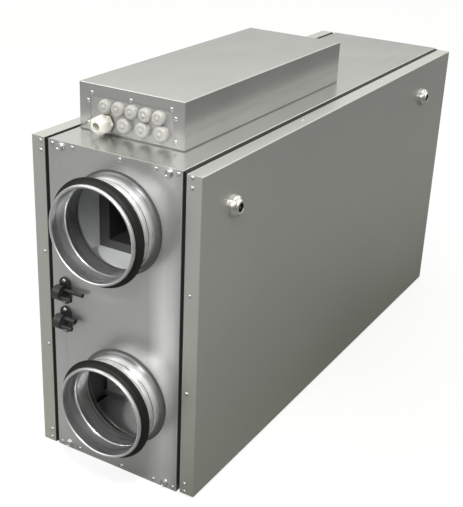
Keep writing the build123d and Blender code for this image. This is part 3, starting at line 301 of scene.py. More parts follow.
cloudy = {"Subsurface_Weight": 0.25, "Subsurface_Scale": 0.006, "Coat_Weight": 0.4}
milky = {"Subsurface_Weight": 0.15, "Subsurface_Scale": 0.004}
finishes = {
    "sheet": galvanised("galvanisedSheet", rgb(0.64, 0.645, 0.63), 0.26),
    # topSheet and plate carry the painted shadow at the control box foot; plate also has a painted reflection
    # band
    "topSheet": galvanised(
        "galvanisedTop", rgb(0.565, 0.57, 0.555), 0.22, grain=(5, 0.5, 5), extras=[paintedFootShade]),
    "plate": galvanised(
        "galvanisedPlate", rgb(0.575, 0.58, 0.57), 0.33, metal=0.88, extras=[paintedFootShade, paintedReflectionBand]),
    "innerSheet": galvanised("galvanisedInside", rgb(0.70, 0.71, 0.71), 0.36, metal=0.75),
    # painted shade: a darker copy of the galvanised sheet for the left panel liner, which lies in shade
    # inside the casing
    "paintedShadeSheet": galvanised("galvanisedShaded", rgb(0.20, 0.205, 0.205), 0.42, metal=0.85),
    # painted light: the fan outlet sleeves get a much lighter tone, standing in for light reaching inside the
    # spigots
    "sleeve": galvanised("galvanisedSleeve", rgb(0.86, 0.88, 0.875), 0.28, metal=0.62),
    "panel": coatedSheet("coatedPanel", rgb(0.60, 0.62, 0.585), rgb(0.54, 0.55, 0.48), 0.30),
    "rubber": rubber("blackRubber"),
    "gland": mouldedPlastic("cloudyPlastic", rgb(0.50, 0.50, 0.47), 0.24, **cloudy),
    "ivory": mouldedPlastic("ivoryNylon", rgb(0.80, 0.79, 0.72), 0.30, **milky),
    "black": mouldedPlastic("blackPlastic", rgb(0.022, 0.022, 0.022), 0.38),
    "fanPlastic": mouldedPlastic("fanPlastic", rgb(0.012, 0.012, 0.012), 0.50, 500.0),
    "impeller": mouldedPlastic("impellerPlastic", rgb(0.045, 0.045, 0.048), 0.40, 500.0),
    "actuator": mouldedPlastic("actuatorPlastic", rgb(0.12, 0.125, 0.13), 0.42),
    "motor": mouldedPlastic("motorCast", rgb(0.05, 0.05, 0.052), 0.5, 300.0),
    "chrome": polishedMetal("chrome", rgb(0.78, 0.77, 0.73), 0.07),
    "nickel": polishedMetal("darkNickel", rgb(0.16, 0.155, 0.14), 0.25),
    "zinc": polishedMetal("brightZinc", rgb(0.66, 0.66, 0.65), 0.16),
    "aluminium": galvanised("thinAluminium", rgb(0.62, 0.63, 0.63), 0.28),
    "stainless": galvanised("stainlessTray", rgb(0.45, 0.45, 0.44), 0.24, grain=(1, 60, 1)),
    "wool": mineralWool("mineralWool"),
    "paper": filterPaper("filterPaper"),
    "board": circuitBoard("circuitBoard"),
}
print("finishes made:", len(finishes))

# pieces that keep the mesh of the frame
keptNodes = {
    "aluminium": ["exchanger_core"],
    "innerSheet": ["exchanger_web"],
    "wool": ["casing_insulation", "door_insulation"],
    "rubber": ["left_panel_gasket", "door_gasket", "cable_gland_seal"],
    "gland": ["gland_locknuts"],
}
for finish, names in keptNodes.items():
    for node in names:
        materials = nodes[node].data.materials
        materials.clear()
        materials.append(finishes[finish])


def standFor(node, name, mesh, finish):
    # links a finished mesh as the piece that stands for a node of the frame
    record = frame["record"]
    mesh.materials.clear()
    mesh.materials.append(finishes[finish])
    piece = bpy.data.objects.new(name, mesh)
    bpy.context.scene.collection.objects.link(piece)
    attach(piece, next(body for body, members in record["behaviour"]["bodies"].items() if node in members))
    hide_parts(node)
    return piece


def plainMesh(holder, name):
    # the mesh that an object has with its modifiers; the object goes
    mesh = bpy.data.meshes.new_from_object(holder.evaluated_get(bpy.context.evaluated_depsgraph_get()))
    bpy.data.objects.remove(holder)
    mesh.name = name
    return mesh


# for the rounding of a frame node's edges: angles in degrees, an area in square metres, and shares
edgeRules = {
    "flat": 1, "sharp": 38, "foldFace": 1.4e-3, "squareTo": 0.99999,
    "manyCorners": 40, "fullShare": 0.95, "emptyShare": 0.4,
}
mergeGap, boxGap = 1e-6, 1e-5  # in metres


def boxArea(face):
    reach = sorted(max(v.co[k] for v in face.verts) - min(v.co[k] for v in face.verts) for k in range(3))
    return reach[1] * reach[2]


def windsRound(face):
    # a face that goes round an opening fills too little of the flat box round it
    count = len(face.verts)
    share = edgeRules["fullShare"] if 4 < count < edgeRules["manyCorners"] else edgeRules["emptyShare"]
    return count > 3 and face.calc_area() < share * boxArea(face)


def mergedCopy(node):
    bm = bmesh.new()
    bm.from_mesh(nodes[node].data)
    bmesh.ops.remove_doubles(bm, verts=bm.verts, dist=mergeGap)
    flat = math.radians(edgeRules["flat"])
    bmesh.ops.dissolve_limit(bm, angle_limit=flat, verts=bm.verts, edges=bm.edges)
    bmesh.ops.triangulate(bm, faces=[face for face in bm.faces if windsRound(face)])
    return bm


def onBoxEdge(edge, low, high):
    # an edge that runs along one of the twelve edges of the node's box
    def onBox(axis):
        ends = [v.co[axis] for v in edge.verts]
        return all(min(abs(end - low[axis]), abs(end - high[axis])) < boxGap for end in ends)

    return sum(onBox(axis) for axis in range(3)) > 1


def squared(mesh):
    # squares the corner normals of faces that lie along an axis, so that narrow ones don't show
    normals = [corner.vector.copy() for corner in mesh.corner_normals]
    for face in mesh.polygons:
        if max(abs(part) for part in face.normal) > edgeRules["squareTo"]:
            for corner in face.loop_indices:
                normals[corner] = face.normal.copy()
    mesh.normals_split_custom_set(normals)
    return mesh


def softened(node, name, finish, edge=0.3, fold=0, steps=2):
    # a copy of a frame node with its sharp edges rounded by edge mm, and its folds by fold mm
    bm = mergedCopy(node)
    low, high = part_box(node)
    weight = bm.edges.layers.float.new("bevel_weight_edge")
    widest = max(edge, fold)
    for face in bm.faces:
        face.smooth = True
    for e in bm.edges:
        if len(e.link_faces) != 2 or e.calc_face_angle(0) < math.radians(edgeRules["sharp"]):
            continue
        broad = min(face.calc_area() for face in e.link_faces) > edgeRules["foldFace"]
        e[weight] = (fold if fold and broad and onBoxEdge(e, low, high) else edge) / widest
    mesh = bpy.data.meshes.new(name + "Raw")
    bm.to_mesh(mesh)
    bm.free()
    holder = bpy.data.objects.new(name + "Raw", mesh)
    bpy.context.scene.collection.objects.link(holder)
    bevel = holder.modifiers.new("edges", "BEVEL")
    bevel.limit_method = "WEIGHT"
    bevel.width = widest * mm
    bevel.segments = steps
    bevel.use_clamp_overlap = False
    flat = holder.modifiers.new("flatFaces", "WEIGHTED_NORMAL")
    flat.mode = "FACE_AREA"
    flat.weight = 100
    return standFor(node, name, squared(plainMesh(holder, name)), finish)


def turnedFrame(start, direction):
    # matrix that takes +Z to a direction, with its origin at a start point
    turn = up.rotation_difference(direction).to_matrix().to_4x4()
    return Matrix.Translation(start) @ turn


def lathe(bm, outline, matrix, segments, closed=False, lobes=None):
    # turns (radius, height) points round +Z; a zero radius becomes one pole vertex
    uv = bm.loops.layers.uv.verify()
    rows = []
    run = [0.0]
    for (r0, h0), (r1, h1) in zip(outline, outline[1:]):
        run.append(run[-1] + math.hypot(r1 - r0, h1 - h0))
    for r, h in outline:
        if r < 1e-9:
            rows.append([bm.verts.new(matrix @ Vector((0, 0, h)))])
            continue
        row = []
        for i in range(segments):
            angle = 2 * math.pi * i / segments
            reach = r * (lobes(angle, r, h) if lobes else 1)
            row.append(bm.verts.new(matrix @ Vector((reach * math.cos(angle), reach * math.sin(angle), h))))
        rows.append(row)
    pairs = list(zip(range(len(rows)), range(1, len(rows))))
    if closed:
        pairs.append((len(rows) - 1, 0))
        run.append(run[-1] + math.dist(outline[-1], outline[0]))
    for step, (a, b) in enumerate(pairs):
        first, second = rows[a], rows[b]
        for i in range(segments):
            j = (i + 1) % segments
            corners = [(first[i % len(first)], i, step), (first[j % len(first)], i + 1, step)]
            corners += [(second[j % len(second)], i + 1, step + 1), (second[i % len(second)], i, step + 1)]
            unique = []
            for corner in corners:
                if corner[0] not in [c[0] for c in unique]:
                    unique.append(corner)
            if len(unique) < 3:
                continue
            face = bm.faces.new([c[0] for c in unique])
            face.smooth = True
            for loop, (vert, across, along) in zip(face.loops, unique):
                loop[uv].uv = (across / segments, run[along])


def meshFrom(bm, name, sharpAngle=40):
    bmesh.ops.recalc_face_normals(bm, faces=bm.faces)
    mesh = bpy.data.meshes.new(name)
    bm.to_mesh(mesh)
    bm.free()
    mesh.set_sharp_from_angle(angle=math.radians(sharpAngle))
    return mesh


def turnedPiece(name, outline, start, direction, segments=96, closed=False, lobes=None):
    bm = bmesh.new()
    lathe(bm, outline, turnedFrame(start, direction), segments, closed, lobes)
    return meshFrom(bm, name)


def scaled(points):
    return [(r * mm, h * mm) for r, h in points]


def roundCorners(points, radius, steps):
    # replaces each corner of a closed outline with a short curve
    smooth = []
    for i, point in enumerate(points):
        p = Vector(point)
        a = Vector(points[i - 1]) - p
        b = Vector(points[(i + 1) % len(points)]) - p
        reach = min(radius, a.length * 0.45, b.length * 0.45)
        start, end = p + a.normalized() * reach, p + b.normalized() * reach
        for k in range(steps + 1):
            t = k / steps
            smooth.append(tuple(start * (1 - t) ** 2 + p * 2 * t * (1 - t) + end * t * t))
    return smooth


def arcPoints(centre, radius, start, end, steps):
    angles = [math.radians(start + (end - start) * i / steps) for i in range(steps + 1)]
    return [(centre[0] + radius * math.cos(a), centre[1] + radius * math.sin(a)) for a in angles]


def hexReach(angle, most):
    # how far a hexagon reaches beyond its flats
    return min(1 / math.cos((angle + math.pi / 6) % (math.pi / 3) - math.pi / 6), most)


def hexLobes(flats, begin, over, most):
    # a turned shape that is round up to the share begin of its flats and a hexagon further out
    def lobes(angle, r, h):
        share = max(0.0, min(1.0, (r / mm - flats * begin) / (flats * over)))
        return 1 + (hexReach(angle, most) - 1) * share

    return lobes


def islands(node):
    # the box of each separate solid in a node
    bm = bmesh.new()
    bm.from_mesh(nodes[node].data)
    bmesh.ops.remove_doubles(bm, verts=bm.verts, dist=mergeGap)
    seen = set()
    boxes = []
    for vert in bm.verts:
        if vert in seen:
            continue
        stack, members = [vert], []
        seen.add(vert)
        while stack:
            v = stack.pop()
            members.append(v.co.copy())
            for other in [e.other_vert(v) for e in v.link_edges]:
                if other not in seen:
                    seen.add(other)
                    stack.append(other)
        low = Vector([min(c[k] for c in members) for k in range(3)])
        high = Vector([max(c[k] for c in members) for k in range(3)])
        boxes.append((low, high))
    bm.free()
    return boxes


def headPlaces(node, height):
    # where each fastener's head sits and the way it faces; only those on an end lie beyond endStart
    endStart = 0.3
    spots = []
    for low, high in islands(node):
        middle = (low + high) / 2
        if abs(middle.y) < endStart:
            spots.append((Vector((middle.x, middle.y, high.z - height)), up))
        elif middle.y < 0:
            spots.append((Vector((middle.x, low.y + height, middle.z)), front))
        else:
            spots.append((Vector((middle.x, high.y - height, middle.z)), rear))
    return spots


repeatSize = {"Size": 1.0, "Spin": 2 * math.pi, "seed": 7}


def repeatTree(name):
    # geometry nodes: one shape on every point, turned to face its way, with a random spin about its axis
    tree = bpy.data.node_groups.new(name, "GeometryNodeTree")
    face = tree.interface
    face.new_socket("Geometry", in_out="INPUT", socket_type="NodeSocketGeometry")
    kinds = {"Shape": "Object", "Size": "Float", "Spin": "Float", "Finish": "Material"}
    sockets = {
        key: face.new_socket(key, in_out="INPUT", socket_type="NodeSocket" + kind).identifier
        for key, kind in kinds.items()
    }
    face.new_socket("Geometry", in_out="OUTPUT", socket_type="NodeSocketGeometry")
    add = tree.nodes.new
    link = tree.links.new
    entry, leave = add("NodeGroupInput"), add("NodeGroupOutput")
    facing = add("GeometryNodeInputNamedAttribute")
    facing.data_type = "FLOAT_VECTOR"
    facing.inputs["Name"].default_value = "facing"
    align = add("FunctionNodeAlignRotationToVector")
    align.axis = "Z"
    link(facing.outputs["Attribute"], align.inputs["Vector"])
    chance = add("FunctionNodeRandomValue")
    chance.data_type = "FLOAT"
    chance.inputs["Seed"].default_value = repeatSize["seed"]
    link(entry.outputs["Spin"], chance.inputs[3])
    spin = add("FunctionNodeAxisAngleToRotation")
    link(chance.outputs[1], spin.inputs["Angle"])
    turn = add("FunctionNodeRotateRotation")
    turn.rotation_space = "LOCAL"
    link(align.outputs["Rotation"], turn.inputs["Rotation"])
    link(spin.outputs["Rotation"], turn.inputs["Rotate By"])
    shape = add("GeometryNodeObjectInfo")
    link(entry.outputs["Shape"], shape.inputs["Object"])
    copies = add("GeometryNodeInstanceOnPoints")
    link(entry.outputs["Geometry"], copies.inputs["Points"])
    link(shape.outputs["Geometry"], copies.inputs["Instance"])
    link(turn.outputs["Rotation"], copies.inputs["Rotation"])
    link(entry.outputs["Size"], copies.inputs["Scale"])
    realize = add("GeometryNodeRealizeInstances")
    paint = add("GeometryNodeSetMaterial")
    link(copies.outputs["Instances"], realize.inputs["Geometry"])
    link(realize.outputs["Geometry"], paint.inputs["Geometry"])
    link(entry.outputs["Finish"], paint.inputs["Material"])
    link(paint.outputs["Geometry"], leave.inputs["Geometry"])
    return tree, sockets


repeater, repeaterInputs = repeatTree("repeatOnPoints")


def repeated(node, name, shapeMesh, spots, finish):
    # puts a copy of a shape at every (place, direction) and makes one plain mesh of them
    points = bpy.data.meshes.new(name + "Points")
    points.from_pydata([tuple(p) for p, d in spots], [], [])
    facing = points.attributes.new("facing", "FLOAT_VECTOR", "POINT")
    facing.data.foreach_set("vector", [c for p, d in spots for c in d])
    holder = bpy.data.objects.new(name + "Points", points)
    shape = bpy.data.objects.new(name + "Shape", shapeMesh)
    for thing in (holder, shape):
        bpy.context.scene.collection.objects.link(thing)
    modifier = holder.modifiers.new("repeat", "NODES")
    modifier.node_group = repeater
    modifier[repeaterInputs["Shape"]] = shape
    modifier[repeaterInputs["Finish"]] = finishes[finish]
    for key in ("Size", "Spin"):
        modifier[repeaterInputs[key]] = repeatSize[key]
    mesh = plainMesh(holder, name)
    bpy.data.objects.remove(shape)
    return standFor(node, name, mesh, finish)


# folded sheets: piece, finish and fold radius in mm
sheets = {
    "casing_top": ("casingTop", "topSheet", 1.5),
    "front_end_plate": ("frontEndPlate", "plate", 0.9),
    "rear_end_plate": ("rearEndPlate", "plate", 0.9),
    "casing_bottom": ("casingBottom", "sheet", 0.8),
    "gland_plate": ("glandPlate", "plate", 0.5),
    "left_panel_skin": ("leftPanel", "panel", 1.6),
    "door_skin": ("doorPanel", "panel", 1.6),
    "control_box_cover": ("controlBoxCover", "topSheet", 1.8),
}
for node, (name, finish, fold) in sheets.items():
    softened(node, name, finish, 0.22, fold, 3)

# what the casing holds: piece, finish and edge radius in mm
inside = {
    "inner_liner": ("innerLiner", "innerSheet", 0.2),
    "left_panel_liner": ("leftPanelLiner", "paintedShadeSheet", 0.3),
    "door_liner": ("doorLiner", "innerSheet", 0.3),
    "fan_outlet_sleeves": ("fanOutletSleeves", "sleeve", 0.2),
    "chamber_dividers": ("chamberDividers", "innerSheet", 0.2),
    "filter_rails": ("filterRails", "innerSheet", 0.2),
    "bypass_duct": ("bypassDuct", "innerSheet", 0.2),
    "bypass_blade": ("bypassBlade", "innerSheet", 0.2),
    "bypass_actuator": ("bypassActuator", "actuator", 1.2),
    "exchanger_end_covers": ("exchangerEndCovers", "aluminium", 0.3),
    "drain_tray": ("drainTray", "stainless", 0.25),
    "outdoor_air_filter": ("outdoorAirFilter", "paper", 0.3),
    "extract_air_filter": ("extractAirFilter", "paper", 0.3),
    "exhaust_fan_housing": ("exhaustFanHousing", "fanPlastic", 0.5),
    "supply_fan_housing": ("supplyFanHousing", "fanPlastic", 0.5),
    "exhaust_fan_impeller": ("exhaustFanImpeller", "impeller", 0.15),
    "supply_fan_impeller": ("supplyFanImpeller", "impeller", 0.15),
    "fan_motors": ("fanMotors", "motor", 0.8),
    "hinge_brackets": ("hingeBrackets", "zinc", 0.3),
    "latch_keepers": ("latchKeepers", "sheet", 0.25),
    "latch_nuts": ("latchNuts", "zinc", 0.4),
    "control_box_base": ("controlBoxBase", "innerSheet", 0.25),
    "control_board": ("controlBoard", "board", 0.4),
    "cable_gland_body": ("cableGlandBody", "ivory", 0.4),
}
for node, (name, finish, edge) in inside.items():
    softened(node, name, finish, edge, steps=1)
print("sheet metal and inside done")

spigotSize = {
    "tube": 79.5, "wall": 1.0, "length": 68.0, "foot": -2.0, "collarEnd": 27.0, "collarStep": 0.9,
    "flare": 88.9, "flareLength": 10.0, "beadDepth": 1.6, "beadWidth": 6.5, "lip": 83.0, "band": 4.0,
    "seam": -12.0,  # degrees
}
# marks on the sheet of the spigots, among them painted shade and a painted dark reflection at the foot, and
# painted shade in the slit: mm out from the end plate, mm along the outline, or a share of a turn
spigotMarks = {
    "footStart": 0.5, "paintedFootShade": ((0.0, 0.20), (0.24, 0.32), (0.54, 1.0)),
    "crimp": 24.0, "crimpHalf": 0.8, "joint": 3.5, "jointShade": ((0.0, 0.35), (0.7, 0.35), (1.0, 1.0)),
    "mouthRun": 75.0, "slitRun": 121.4, "slitHalf": 1.7, "slitTurn": 0.913, "slitSpan": 0.020,
}


def spunSteel(name, tone, rough):
    # turned sheet: rings round the axis from the piece's own UV map, u round it and v along its outline
    f = Finish(name)
    s = spigotMarks
    uv = f.coordinates("UV")
    u, v = f.part("X", uv), f.part("Y", uv)
    rings = f.noise(1.0, 3.0, 0.7, f.stretched((3.0, 2600.0, 1.0), uv))
    broad = f.noise(1.0, 3.0, 0.5, f.stretched((9.0, 110.0, 1.0), uv))
    # painted shade: the slit is a dark mark in the colour with a small dent, not an opening
    shadedSlit = (abs(v - s["slitRun"] * mm) < s["slitHalf"] * mm) * (abs(u - s["slitTurn"]) < s["slitSpan"])
    outside = v > s["mouthRun"] * mm
    proud = abs(f.part("Y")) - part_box("rear_end_plate")[1].y
    # painted shade and a painted dark reflection: the foot darkens where it flares into the end plate
    foot = f.ramp((proud - s["footStart"] * mm) * 40.0, *s["paintedFootShade"])
    crimp = abs(proud - s["crimp"] * mm) < s["crimpHalf"] * mm
    joint = f.ramp(abs(proud - s["joint"] * mm) * 1000.0, *s["jointShade"])
    # outside: the painted foot shade and the crimp line; inside: the joint line
    lines = outside * (foot * (1.0 - 0.88 * crimp)) + (1.0 - outside) * joint
    marks = (0.42 + 0.26 * rings + 0.74 * broad) * (1.0 - 0.93 * shadedSlit) * lines
    f.feed("Base Color", f.shade(tone, marks))
    f.feed("Metallic", 0.93 - 0.30 * outside)
    f.feed("Roughness", rough + 0.08 * rings + 0.10 * broad)
    f.bump(rings * 0.035 + broad * 0.14 - shadedSlit * 0.4, 0.7, 0.002)
    return f.material


def beadPoints(radius, start, width):
    # the points of a bead rolled inwards, between its two ends
    depth = spigotSize["beadDepth"]
    steps = [i / 8 for i in range(1, 8)]
    return [(radius - depth * math.sin(math.pi * t) ** 1.3, start + width * t) for t in steps]


def spigotOutline():
    # up the inside, round the rolled mouth and down the outside to the flared foot
    s = spigotSize
    tube = s["tube"]
    bore = tube - s["wall"]
    collar = tube + s["collarStep"]
    bead = s["collarEnd"] + 1.0
    beadEnd = bead + s["beadWidth"]
    inside = [(bore, s["foot"]), (bore, bead)] + beadPoints(bore, bead, s["beadWidth"])
    inside += [(bore, beadEnd), (bore, s["length"] - 10.4)]
    inside += [(bore - 0.5, s["length"] - 9.9), (bore - 0.5, s["length"] - 5)]
    roll = (s["lip"] - bore + 0.5) / 2
    mouth = arcPoints((s["lip"] - roll, s["length"] - roll), roll, 180, 0, 14)
    back = s["length"] - roll - s["band"]
    outside = [(s["lip"], back + 0.6), (s["lip"] - 0.5, back), (tube, back - 1.7), (tube, beadEnd)]
    outside += beadPoints(tube, beadEnd, -s["beadWidth"])
    outside += [(tube, bead), (tube - 0.5, s["collarEnd"] + 0.7), (tube - 0.5, s["collarEnd"] + 0.1)]
    outside += [(collar - 0.2, s["collarEnd"]), (collar, s["collarEnd"] - 0.4)]
    outside += [(collar, s["flareLength"] + 4.0), (collar, s["flareLength"])]
    reach, rise = s["flare"] - collar, s["flareLength"] - 1.0
    for i in range(1, 9):
        a = math.radians(90 * i / 8)
        outside.append((collar + reach * (1 - math.cos(a)), 1.0 + rise * (1 - math.sin(a))))
    outside += [(s["flare"], 0.4), (s["flare"] - 0.4, 0.05), (tube + 2, 0.05), (tube, s["foot"])]
    return scaled(inside + mouth + outside)


def seamed(angle, r, h):
    # the lap seam stands up from the outside of the tube
    apart = math.remainder(angle - math.radians(spigotSize["seam"]), 2 * math.pi)
    outside = r > spigotSize["tube"] * mm * 0.999 and 0.012 < h < 0.066
    return 1 + 0.006 * math.exp(-((apart / 0.016) ** 2)) if outside else 1


# a seal's lips: mm out from the tube, and mm out from the end plate
sealLips = [
    (0.02, 46.1), (3.0, 46.1), (7.0, 45.6), (9.0, 46.0), (9.2, 46.9), (6.4, 47.7),
    (4.0, 49.1), (3.6, 50.7), (4.6, 51.5), (8.4, 50.6), (11.2, 50.4), (11.9, 51.0),
    (11.4, 52.1), (7.4, 53.4), (4.2, 55.3), (3.0, 56.9), (1.4, 57.8), (0.02, 57.9),
]
sealOutline = scaled(roundCorners([(spigotSize["tube"] + out, h) for out, h in sealLips], 0.8, 2))

finishes["spun"] = spunSteel("spunSteel", rgb(0.70, 0.71, 0.71), 0.20)
for end, way in (("front", front), ("rear", rear)):
    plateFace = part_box(f"{end}_end_plate")[0 if way.y < 0 else 1].y
    for level in ("upper", "lower"):
        spigot, seal = f"{end}_{level}_spigot", f"{end}_{level}_seal"
        low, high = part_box(spigot)
        centre = Vector(((low.x + high.x) / 2, plateFace, (low.z + high.z) / 2))
        name = end + level.capitalize() + "Spigot"
        standFor(spigot, name, turnedPiece(name, spigotOutline(), centre, way, 200, True, seamed), "spun")
        name = end + level.capitalize() + "Seal"
        standFor(seal, name, turnedPiece(name, sealOutline, centre, way, 160, True), "rubber")
print("spigots done")

rivetSize = {"head": 3.8, "height": 1.6, "pin": 1.25, "shank": 2.0, "depth": 5.0}


def rivetShape():
    s = rivetSize
    r, h = s["head"], s["height"]
    points = [(0, 0.55 * h), (s["pin"] * 0.72, 0.55 * h), (s["pin"], 0.62 * h), (s["pin"] + 0.12, h)]
    points += [(r * 0.5, 0.97 * h), (r * 0.72, 0.78 * h), (r * 0.9, 0.45 * h), (r, 0.16 * h), (r, 0)]
    points += [(s["shank"], 0), (s["shank"], -s["depth"]), (0, -s["depth"])]
    return turnedPiece("rivetShape", scaled(points), Vector(), up, 20)


rivet = rivetShape()
for node, name in (("casing_rivets", "casingRivets"), ("door_rivets", "doorRivets")):
    repeated(node, name, rivet, headPlaces(node, rivetSize["height"] * mm), "zinc")

screwSize = {"washer": 8.0, "washerHeight": 1.5, "flats": 5.5, "height": 5.0, "dish": 0.9}


def screwShape():
    s = screwSize
    flat, top = s["flats"], s["height"]
    bm = bmesh.new()
    washer = [(0, 0), (s["washer"], 0), (s["washer"], 0.6), (s["washer"] - 0.7, s["washerHeight"])]
    washer += [(flat * 0.8, s["washerHeight"]), (0, s["washerHeight"])]
    lathe(bm, scaled(washer), Matrix.Identity(4), 36)
    head = [(flat, s["washerHeight"] * 0.9), (flat, top - 0.9), (flat * 0.93, top - 0.1), (flat * 0.86, top)]
    head += [(flat * 0.74, top), (flat * 0.62, top - s["dish"]), (0, top - s["dish"] * 1.15)]
    lathe(bm, scaled(head), Matrix.Identity(4), 36, lobes=hexLobes(flat, 0.74, 0.2, 1.12))
    bmesh.ops.remove_doubles(bm, verts=bm.verts, dist=1e-7)
    return meshFrom(bm, "screwShape", 32)


spots = headPlaces("corner_screws", screwSize["height"] * mm)
repeated("corner_screws", "cornerScrews", screwShape(), spots, "zinc")

panScrewSize = {"head": 4.0, "height": 2.6, "shank": 1.5, "depth": 6.0}


def panScrewShape():
    s = panScrewSize
    points = [(0, 1.5), (0.9, 1.5), (1.3, 2.4), (2.2, 2.4), (3.2, 1.8), (s["head"] - 0.1, 0.9)]
    points += [(s["head"], 0), (s["shank"], 0), (s["shank"], -s["depth"]), (0, -s["depth"])]
    return turnedPiece("panScrewShape", scaled(points), Vector(), up, 24)


spots = headPlaces("port_screws", panScrewSize["height"] * mm)
repeated("port_screws", "portScrews", panScrewShape(), spots, "zinc")
print("fasteners done")

glandSize = {"proud": 12.0, "nub": 3.4, "thread": 7.9, "back": 9.0}


def glandShape(radius):
    s = glandSize
    top = s["proud"]
    points = [(0, top - 0.3), (1.2, top), (2.4, top - 0.2)]
    points += [(s["nub"], top - 1.2), (s["nub"] + 0.5, top - 2.1)]
    points += [(radius * share, top - drop) for share, drop in (
        (0.50, 2.3), (0.56, 1.9), (0.66, 1.9), (0.80, 2.6), (0.92, 4.0), (1.0, 6.4), (1.0, 8.0),
    )]
    points += [(radius - 0.5, top - 8.4), (radius - 0.5, top - 9.4), (radius, top - 9.8), (radius, 0.1)]
    points += [(s["thread"], 0.05), (s["thread"], -s["back"]), (0, -s["back"])]
    return turnedPiece("glandShape", scaled(points), Vector(), up, 48)


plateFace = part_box("gland_plate")[0].y
for node, name in (("small_blind_glands", "smallGlands"), ("large_blind_glands", "largeGlands")):
    boxes = islands(node)
    radius = (boxes[0][1].x - boxes[0][0].x) / 2 / mm
    spots = [(Vector(((a.x + b.x) / 2, plateFace, (a.z + b.z) / 2)), front) for a, b in boxes]
    repeated(node, name, glandShape(radius), spots, "gland")

capSize = {"flats": 15.0, "length": 19.5, "bore": 6.5, "socket": 10.4, "socketDepth": 12.0}


def capNut():
    s = capSize
    low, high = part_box("cable_gland_nut")
    start = Vector(((low.x + high.x) / 2, high.y, (low.z + high.z) / 2))
    flat, end = s["flats"], s["length"]
    outline = [(s["socket"], s["socketDepth"]), (s["socket"], 0.0), (flat - 0.4, 0.0), (flat, 0.5)]
    outline += [(flat * share, end - drop) for share, drop in (
        (1.0, 8.6), (0.975, 6.2), (0.90, 4.0), (0.78, 2.0), (0.62, 0.5), (0.54, 0.0),
    )]
    outline += [(s["bore"] + 0.5, end), (s["bore"], end - 0.5), (s["bore"], s["socketDepth"])]
    lobes = hexLobes(flat, 0.70, 0.26, 1.13)
    return turnedPiece("cableGlandNut", scaled(outline), start, front, 96, True, lobes)


standFor("cable_gland_nut", "cableGlandNut", capNut(), "ivory")
print("glands done")

latchSize = {"bezel": 19.0, "height": 13.0, "shank": 11.0, "bore": 8.06}


def latchBezels():
    s = latchSize
    bm = bmesh.new()
    for low, high in islands("latch_housings"):
        face = high.x - s["height"] * mm
        start = Vector((face, (low.y + high.y) / 2, (low.z + high.z) / 2))
        depth = (low.x - face) / mm
        b, h = s["bezel"], s["height"]
        outline = [(s["bore"], depth), (s["bore"], h - 0.4), (s["bore"] + 0.4, h), (11.4, h), (12.2, h - 0.5)]
        outline += arcPoints((10.4, h - 10.4), 8.6, 68, 2, 10)
        outline += [(b - 0.1, h - 10.9), (b, 0.6), (b, 0.1), (s["shank"], 0.05), (s["shank"], depth)]
        lathe(bm, scaled(outline), turnedFrame(start, right), 72, closed=True)
    return meshFrom(bm, "latchBezels", 30)


standFor("latch_housings", "latchBezels", latchBezels(), "chrome")
softened("front_latch_barrel", "frontLatchBarrel", "nickel", 0.3)
softened("rear_latch_barrel", "rearLatchBarrel", "nickel", 0.3)
softened("upper_pressure_port", "upperPressurePort", "black", 0.6)
softened("lower_pressure_port", "lowerPressurePort", "black", 0.6)
print("latches and ports done")

floorSize = {
    "half": 9.0, "drop": 0.0005, "tone": 0.86, "glow": 0.75, "brightness": 1.03,
    "greys": ((0.30, 0.36), (0.40, 0.18), (0.57, 0.28), (0.68, 0.20), (0.87, 0.20)),  # from left to right
}


def floorFinish():
    # matt floor: white with the object's shadow to the camera, mid grey in the object's reflections
    f = Finish("paleFloor", Roughness=0.85, Specular_IOR_Level=0.1)
    tone = floorSize["tone"]
    grey = f.ramp(f.part("X") * 0.3333 + 0.3333, *floorSize["greys"])
    seen = f.add("ShaderNodeLightPath", {}, take="Is Camera Ray")
    colour = f.blend(seen, grey, rgb(tone, tone, tone))
    f.feed("Base Color", f.shade(colour, 0.985 + 0.03 * f.noise(1.3, 3.0)))
    glow = f.add("ShaderNodeEmission", {}, rgb(1, 1, 1), floorSize["brightness"])
    mix = f.add("ShaderNodeMixShader", {}, seen * floorSize["glow"], f.surface, glow)
    f.plug(f.output.inputs[0], mix)
    return f.material


def layFloor():
    half = floorSize["half"]
    mesh = bpy.data.meshes.new("floor")
    corners = [(-half, -half, 0), (half, -half, 0), (half, half, 0), (-half, half, 0)]
    mesh.from_pydata(corners, [], [(0, 1, 2, 3)])
    mesh.materials.append(floorFinish())
    floor = bpy.data.objects.new("floor", mesh)
    bpy.context.scene.collection.objects.link(floor)
    floor.location.z = -floorSize["drop"]


studio = {
    "tint": rgb(1.0, 0.99, 0.955),
    "walls": (
        (0.0, 0.36), (0.22, 0.44), (0.30, 0.90), (0.36, 1.30),
        (0.43, 1.60), (0.55, 1.40), (0.70, 0.80), (1.0, 0.80),
    ),
}


def lightWorld():
    # the metal mirrors pale walls, brightest at eye level, and the camera sees white
    world = bpy.data.worlds.new("studio")
    bpy.context.scene.world = world
    tree = NodeTree(world)
    height = tree.part("Z", tree.coordinates("Generated"))
    walls = tree.shade(studio["tint"], tree.ramp(height, *studio["walls"]))
    seen = tree.add("ShaderNodeLightPath", {}, take="Is Camera Ray")
    background = tree.add("ShaderNodeBackground", {}, tree.blend(seen, walls, rgb(1, 1, 1)))
    tree.add("ShaderNodeOutputWorld", {}, background)


# place, aim, side and radiance
softBoxes = {
    "flash": ((0.3, -2.6, 1.9), (0, -0.5, 0.35), 1.3, 2.6),
    "keySoftBox": ((-1.8, -2.2, 2.6), (0, 0, 0.3), 1.8, 1.8),
    "ceilingSoftBox": ((0.3, 0.6, 3.6), (0, 0, 0.3), 2.6, 1.2),
}
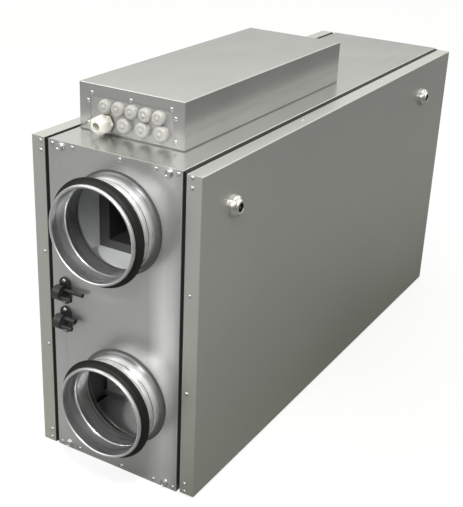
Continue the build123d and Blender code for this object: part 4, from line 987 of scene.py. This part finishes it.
# place, aim, cone in degrees, watts and radius
narrowLamps = {
    "upperSpigotLamp": ((0.25, -2.1, 1.6), (0.0, -0.608, 0.472), 4.2, 300.0, 0.03),
    "spigotSideLamp": ((0.75, -1.35, 2.1), (0.03, -0.56, 0.32), 19, 120.0, 0.25),
    "lowerSpigotLamp": ((0.25, -2.1, 1.28), (0.012, -0.608, 0.153), 4.2, 160.0, 0.03),
}


def hang(lamp, place, aim):
    holder = bpy.data.objects.new(lamp.name, lamp)
    bpy.context.scene.collection.objects.link(holder)
    holder.location = place
    holder.rotation_euler = (Vector(aim) - Vector(place)).to_track_quat("-Z", "Y").to_euler()


def softBox(name, place, aim, side, radiance):
    lamp = bpy.data.lights.new(name, "AREA")
    lamp.shape = "RECTANGLE"
    lamp.size = lamp.size_y = side
    lamp.energy = radiance * math.pi * side * side
    hang(lamp, place, aim)


def narrowLamp(name, place, aim, cone, energy, radius):
    lamp = bpy.data.lights.new(name, "SPOT")
    lamp.spot_size = math.radians(cone)
    lamp.spot_blend = 0.8
    lamp.shadow_soft_size = radius
    lamp.energy = energy
    hang(lamp, place, aim)


# the camera's place, and the directions across, below and ahead of it
cameraSize = {
    "lens": 76.80, "sensor": 36.0, "place": (0.889, -1.7098, 1.087),
    "across": (0.85799766, 0.51204214, 0.04065535), "below": (0.24279162, -0.33453311, -0.91057115),
    "ahead": (-0.45265024, 0.7911387, -0.41134817),
}


def aimCamera():
    s = cameraSize
    camera = bpy.data.cameras.new("camera")
    camera.sensor_fit = "HORIZONTAL"
    camera.sensor_width = s["sensor"]
    camera.lens = s["lens"]
    holder = bpy.data.objects.new("camera", camera)
    bpy.context.scene.collection.objects.link(holder)
    turn = Matrix((Vector(s["across"]), -Vector(s["below"]), -Vector(s["ahead"]))).transposed().to_4x4()
    holder.matrix_world = Matrix.Translation(s["place"]) @ turn
    bpy.context.scene.camera = holder


layFloor()
lightWorld()
for name, values in softBoxes.items():
    softBox(name, *values)
for name, values in narrowLamps.items():
    narrowLamp(name, *values)
aimCamera()
bpy.context.scene.view_settings.view_transform = "Standard"
print("stage, lights and camera done")
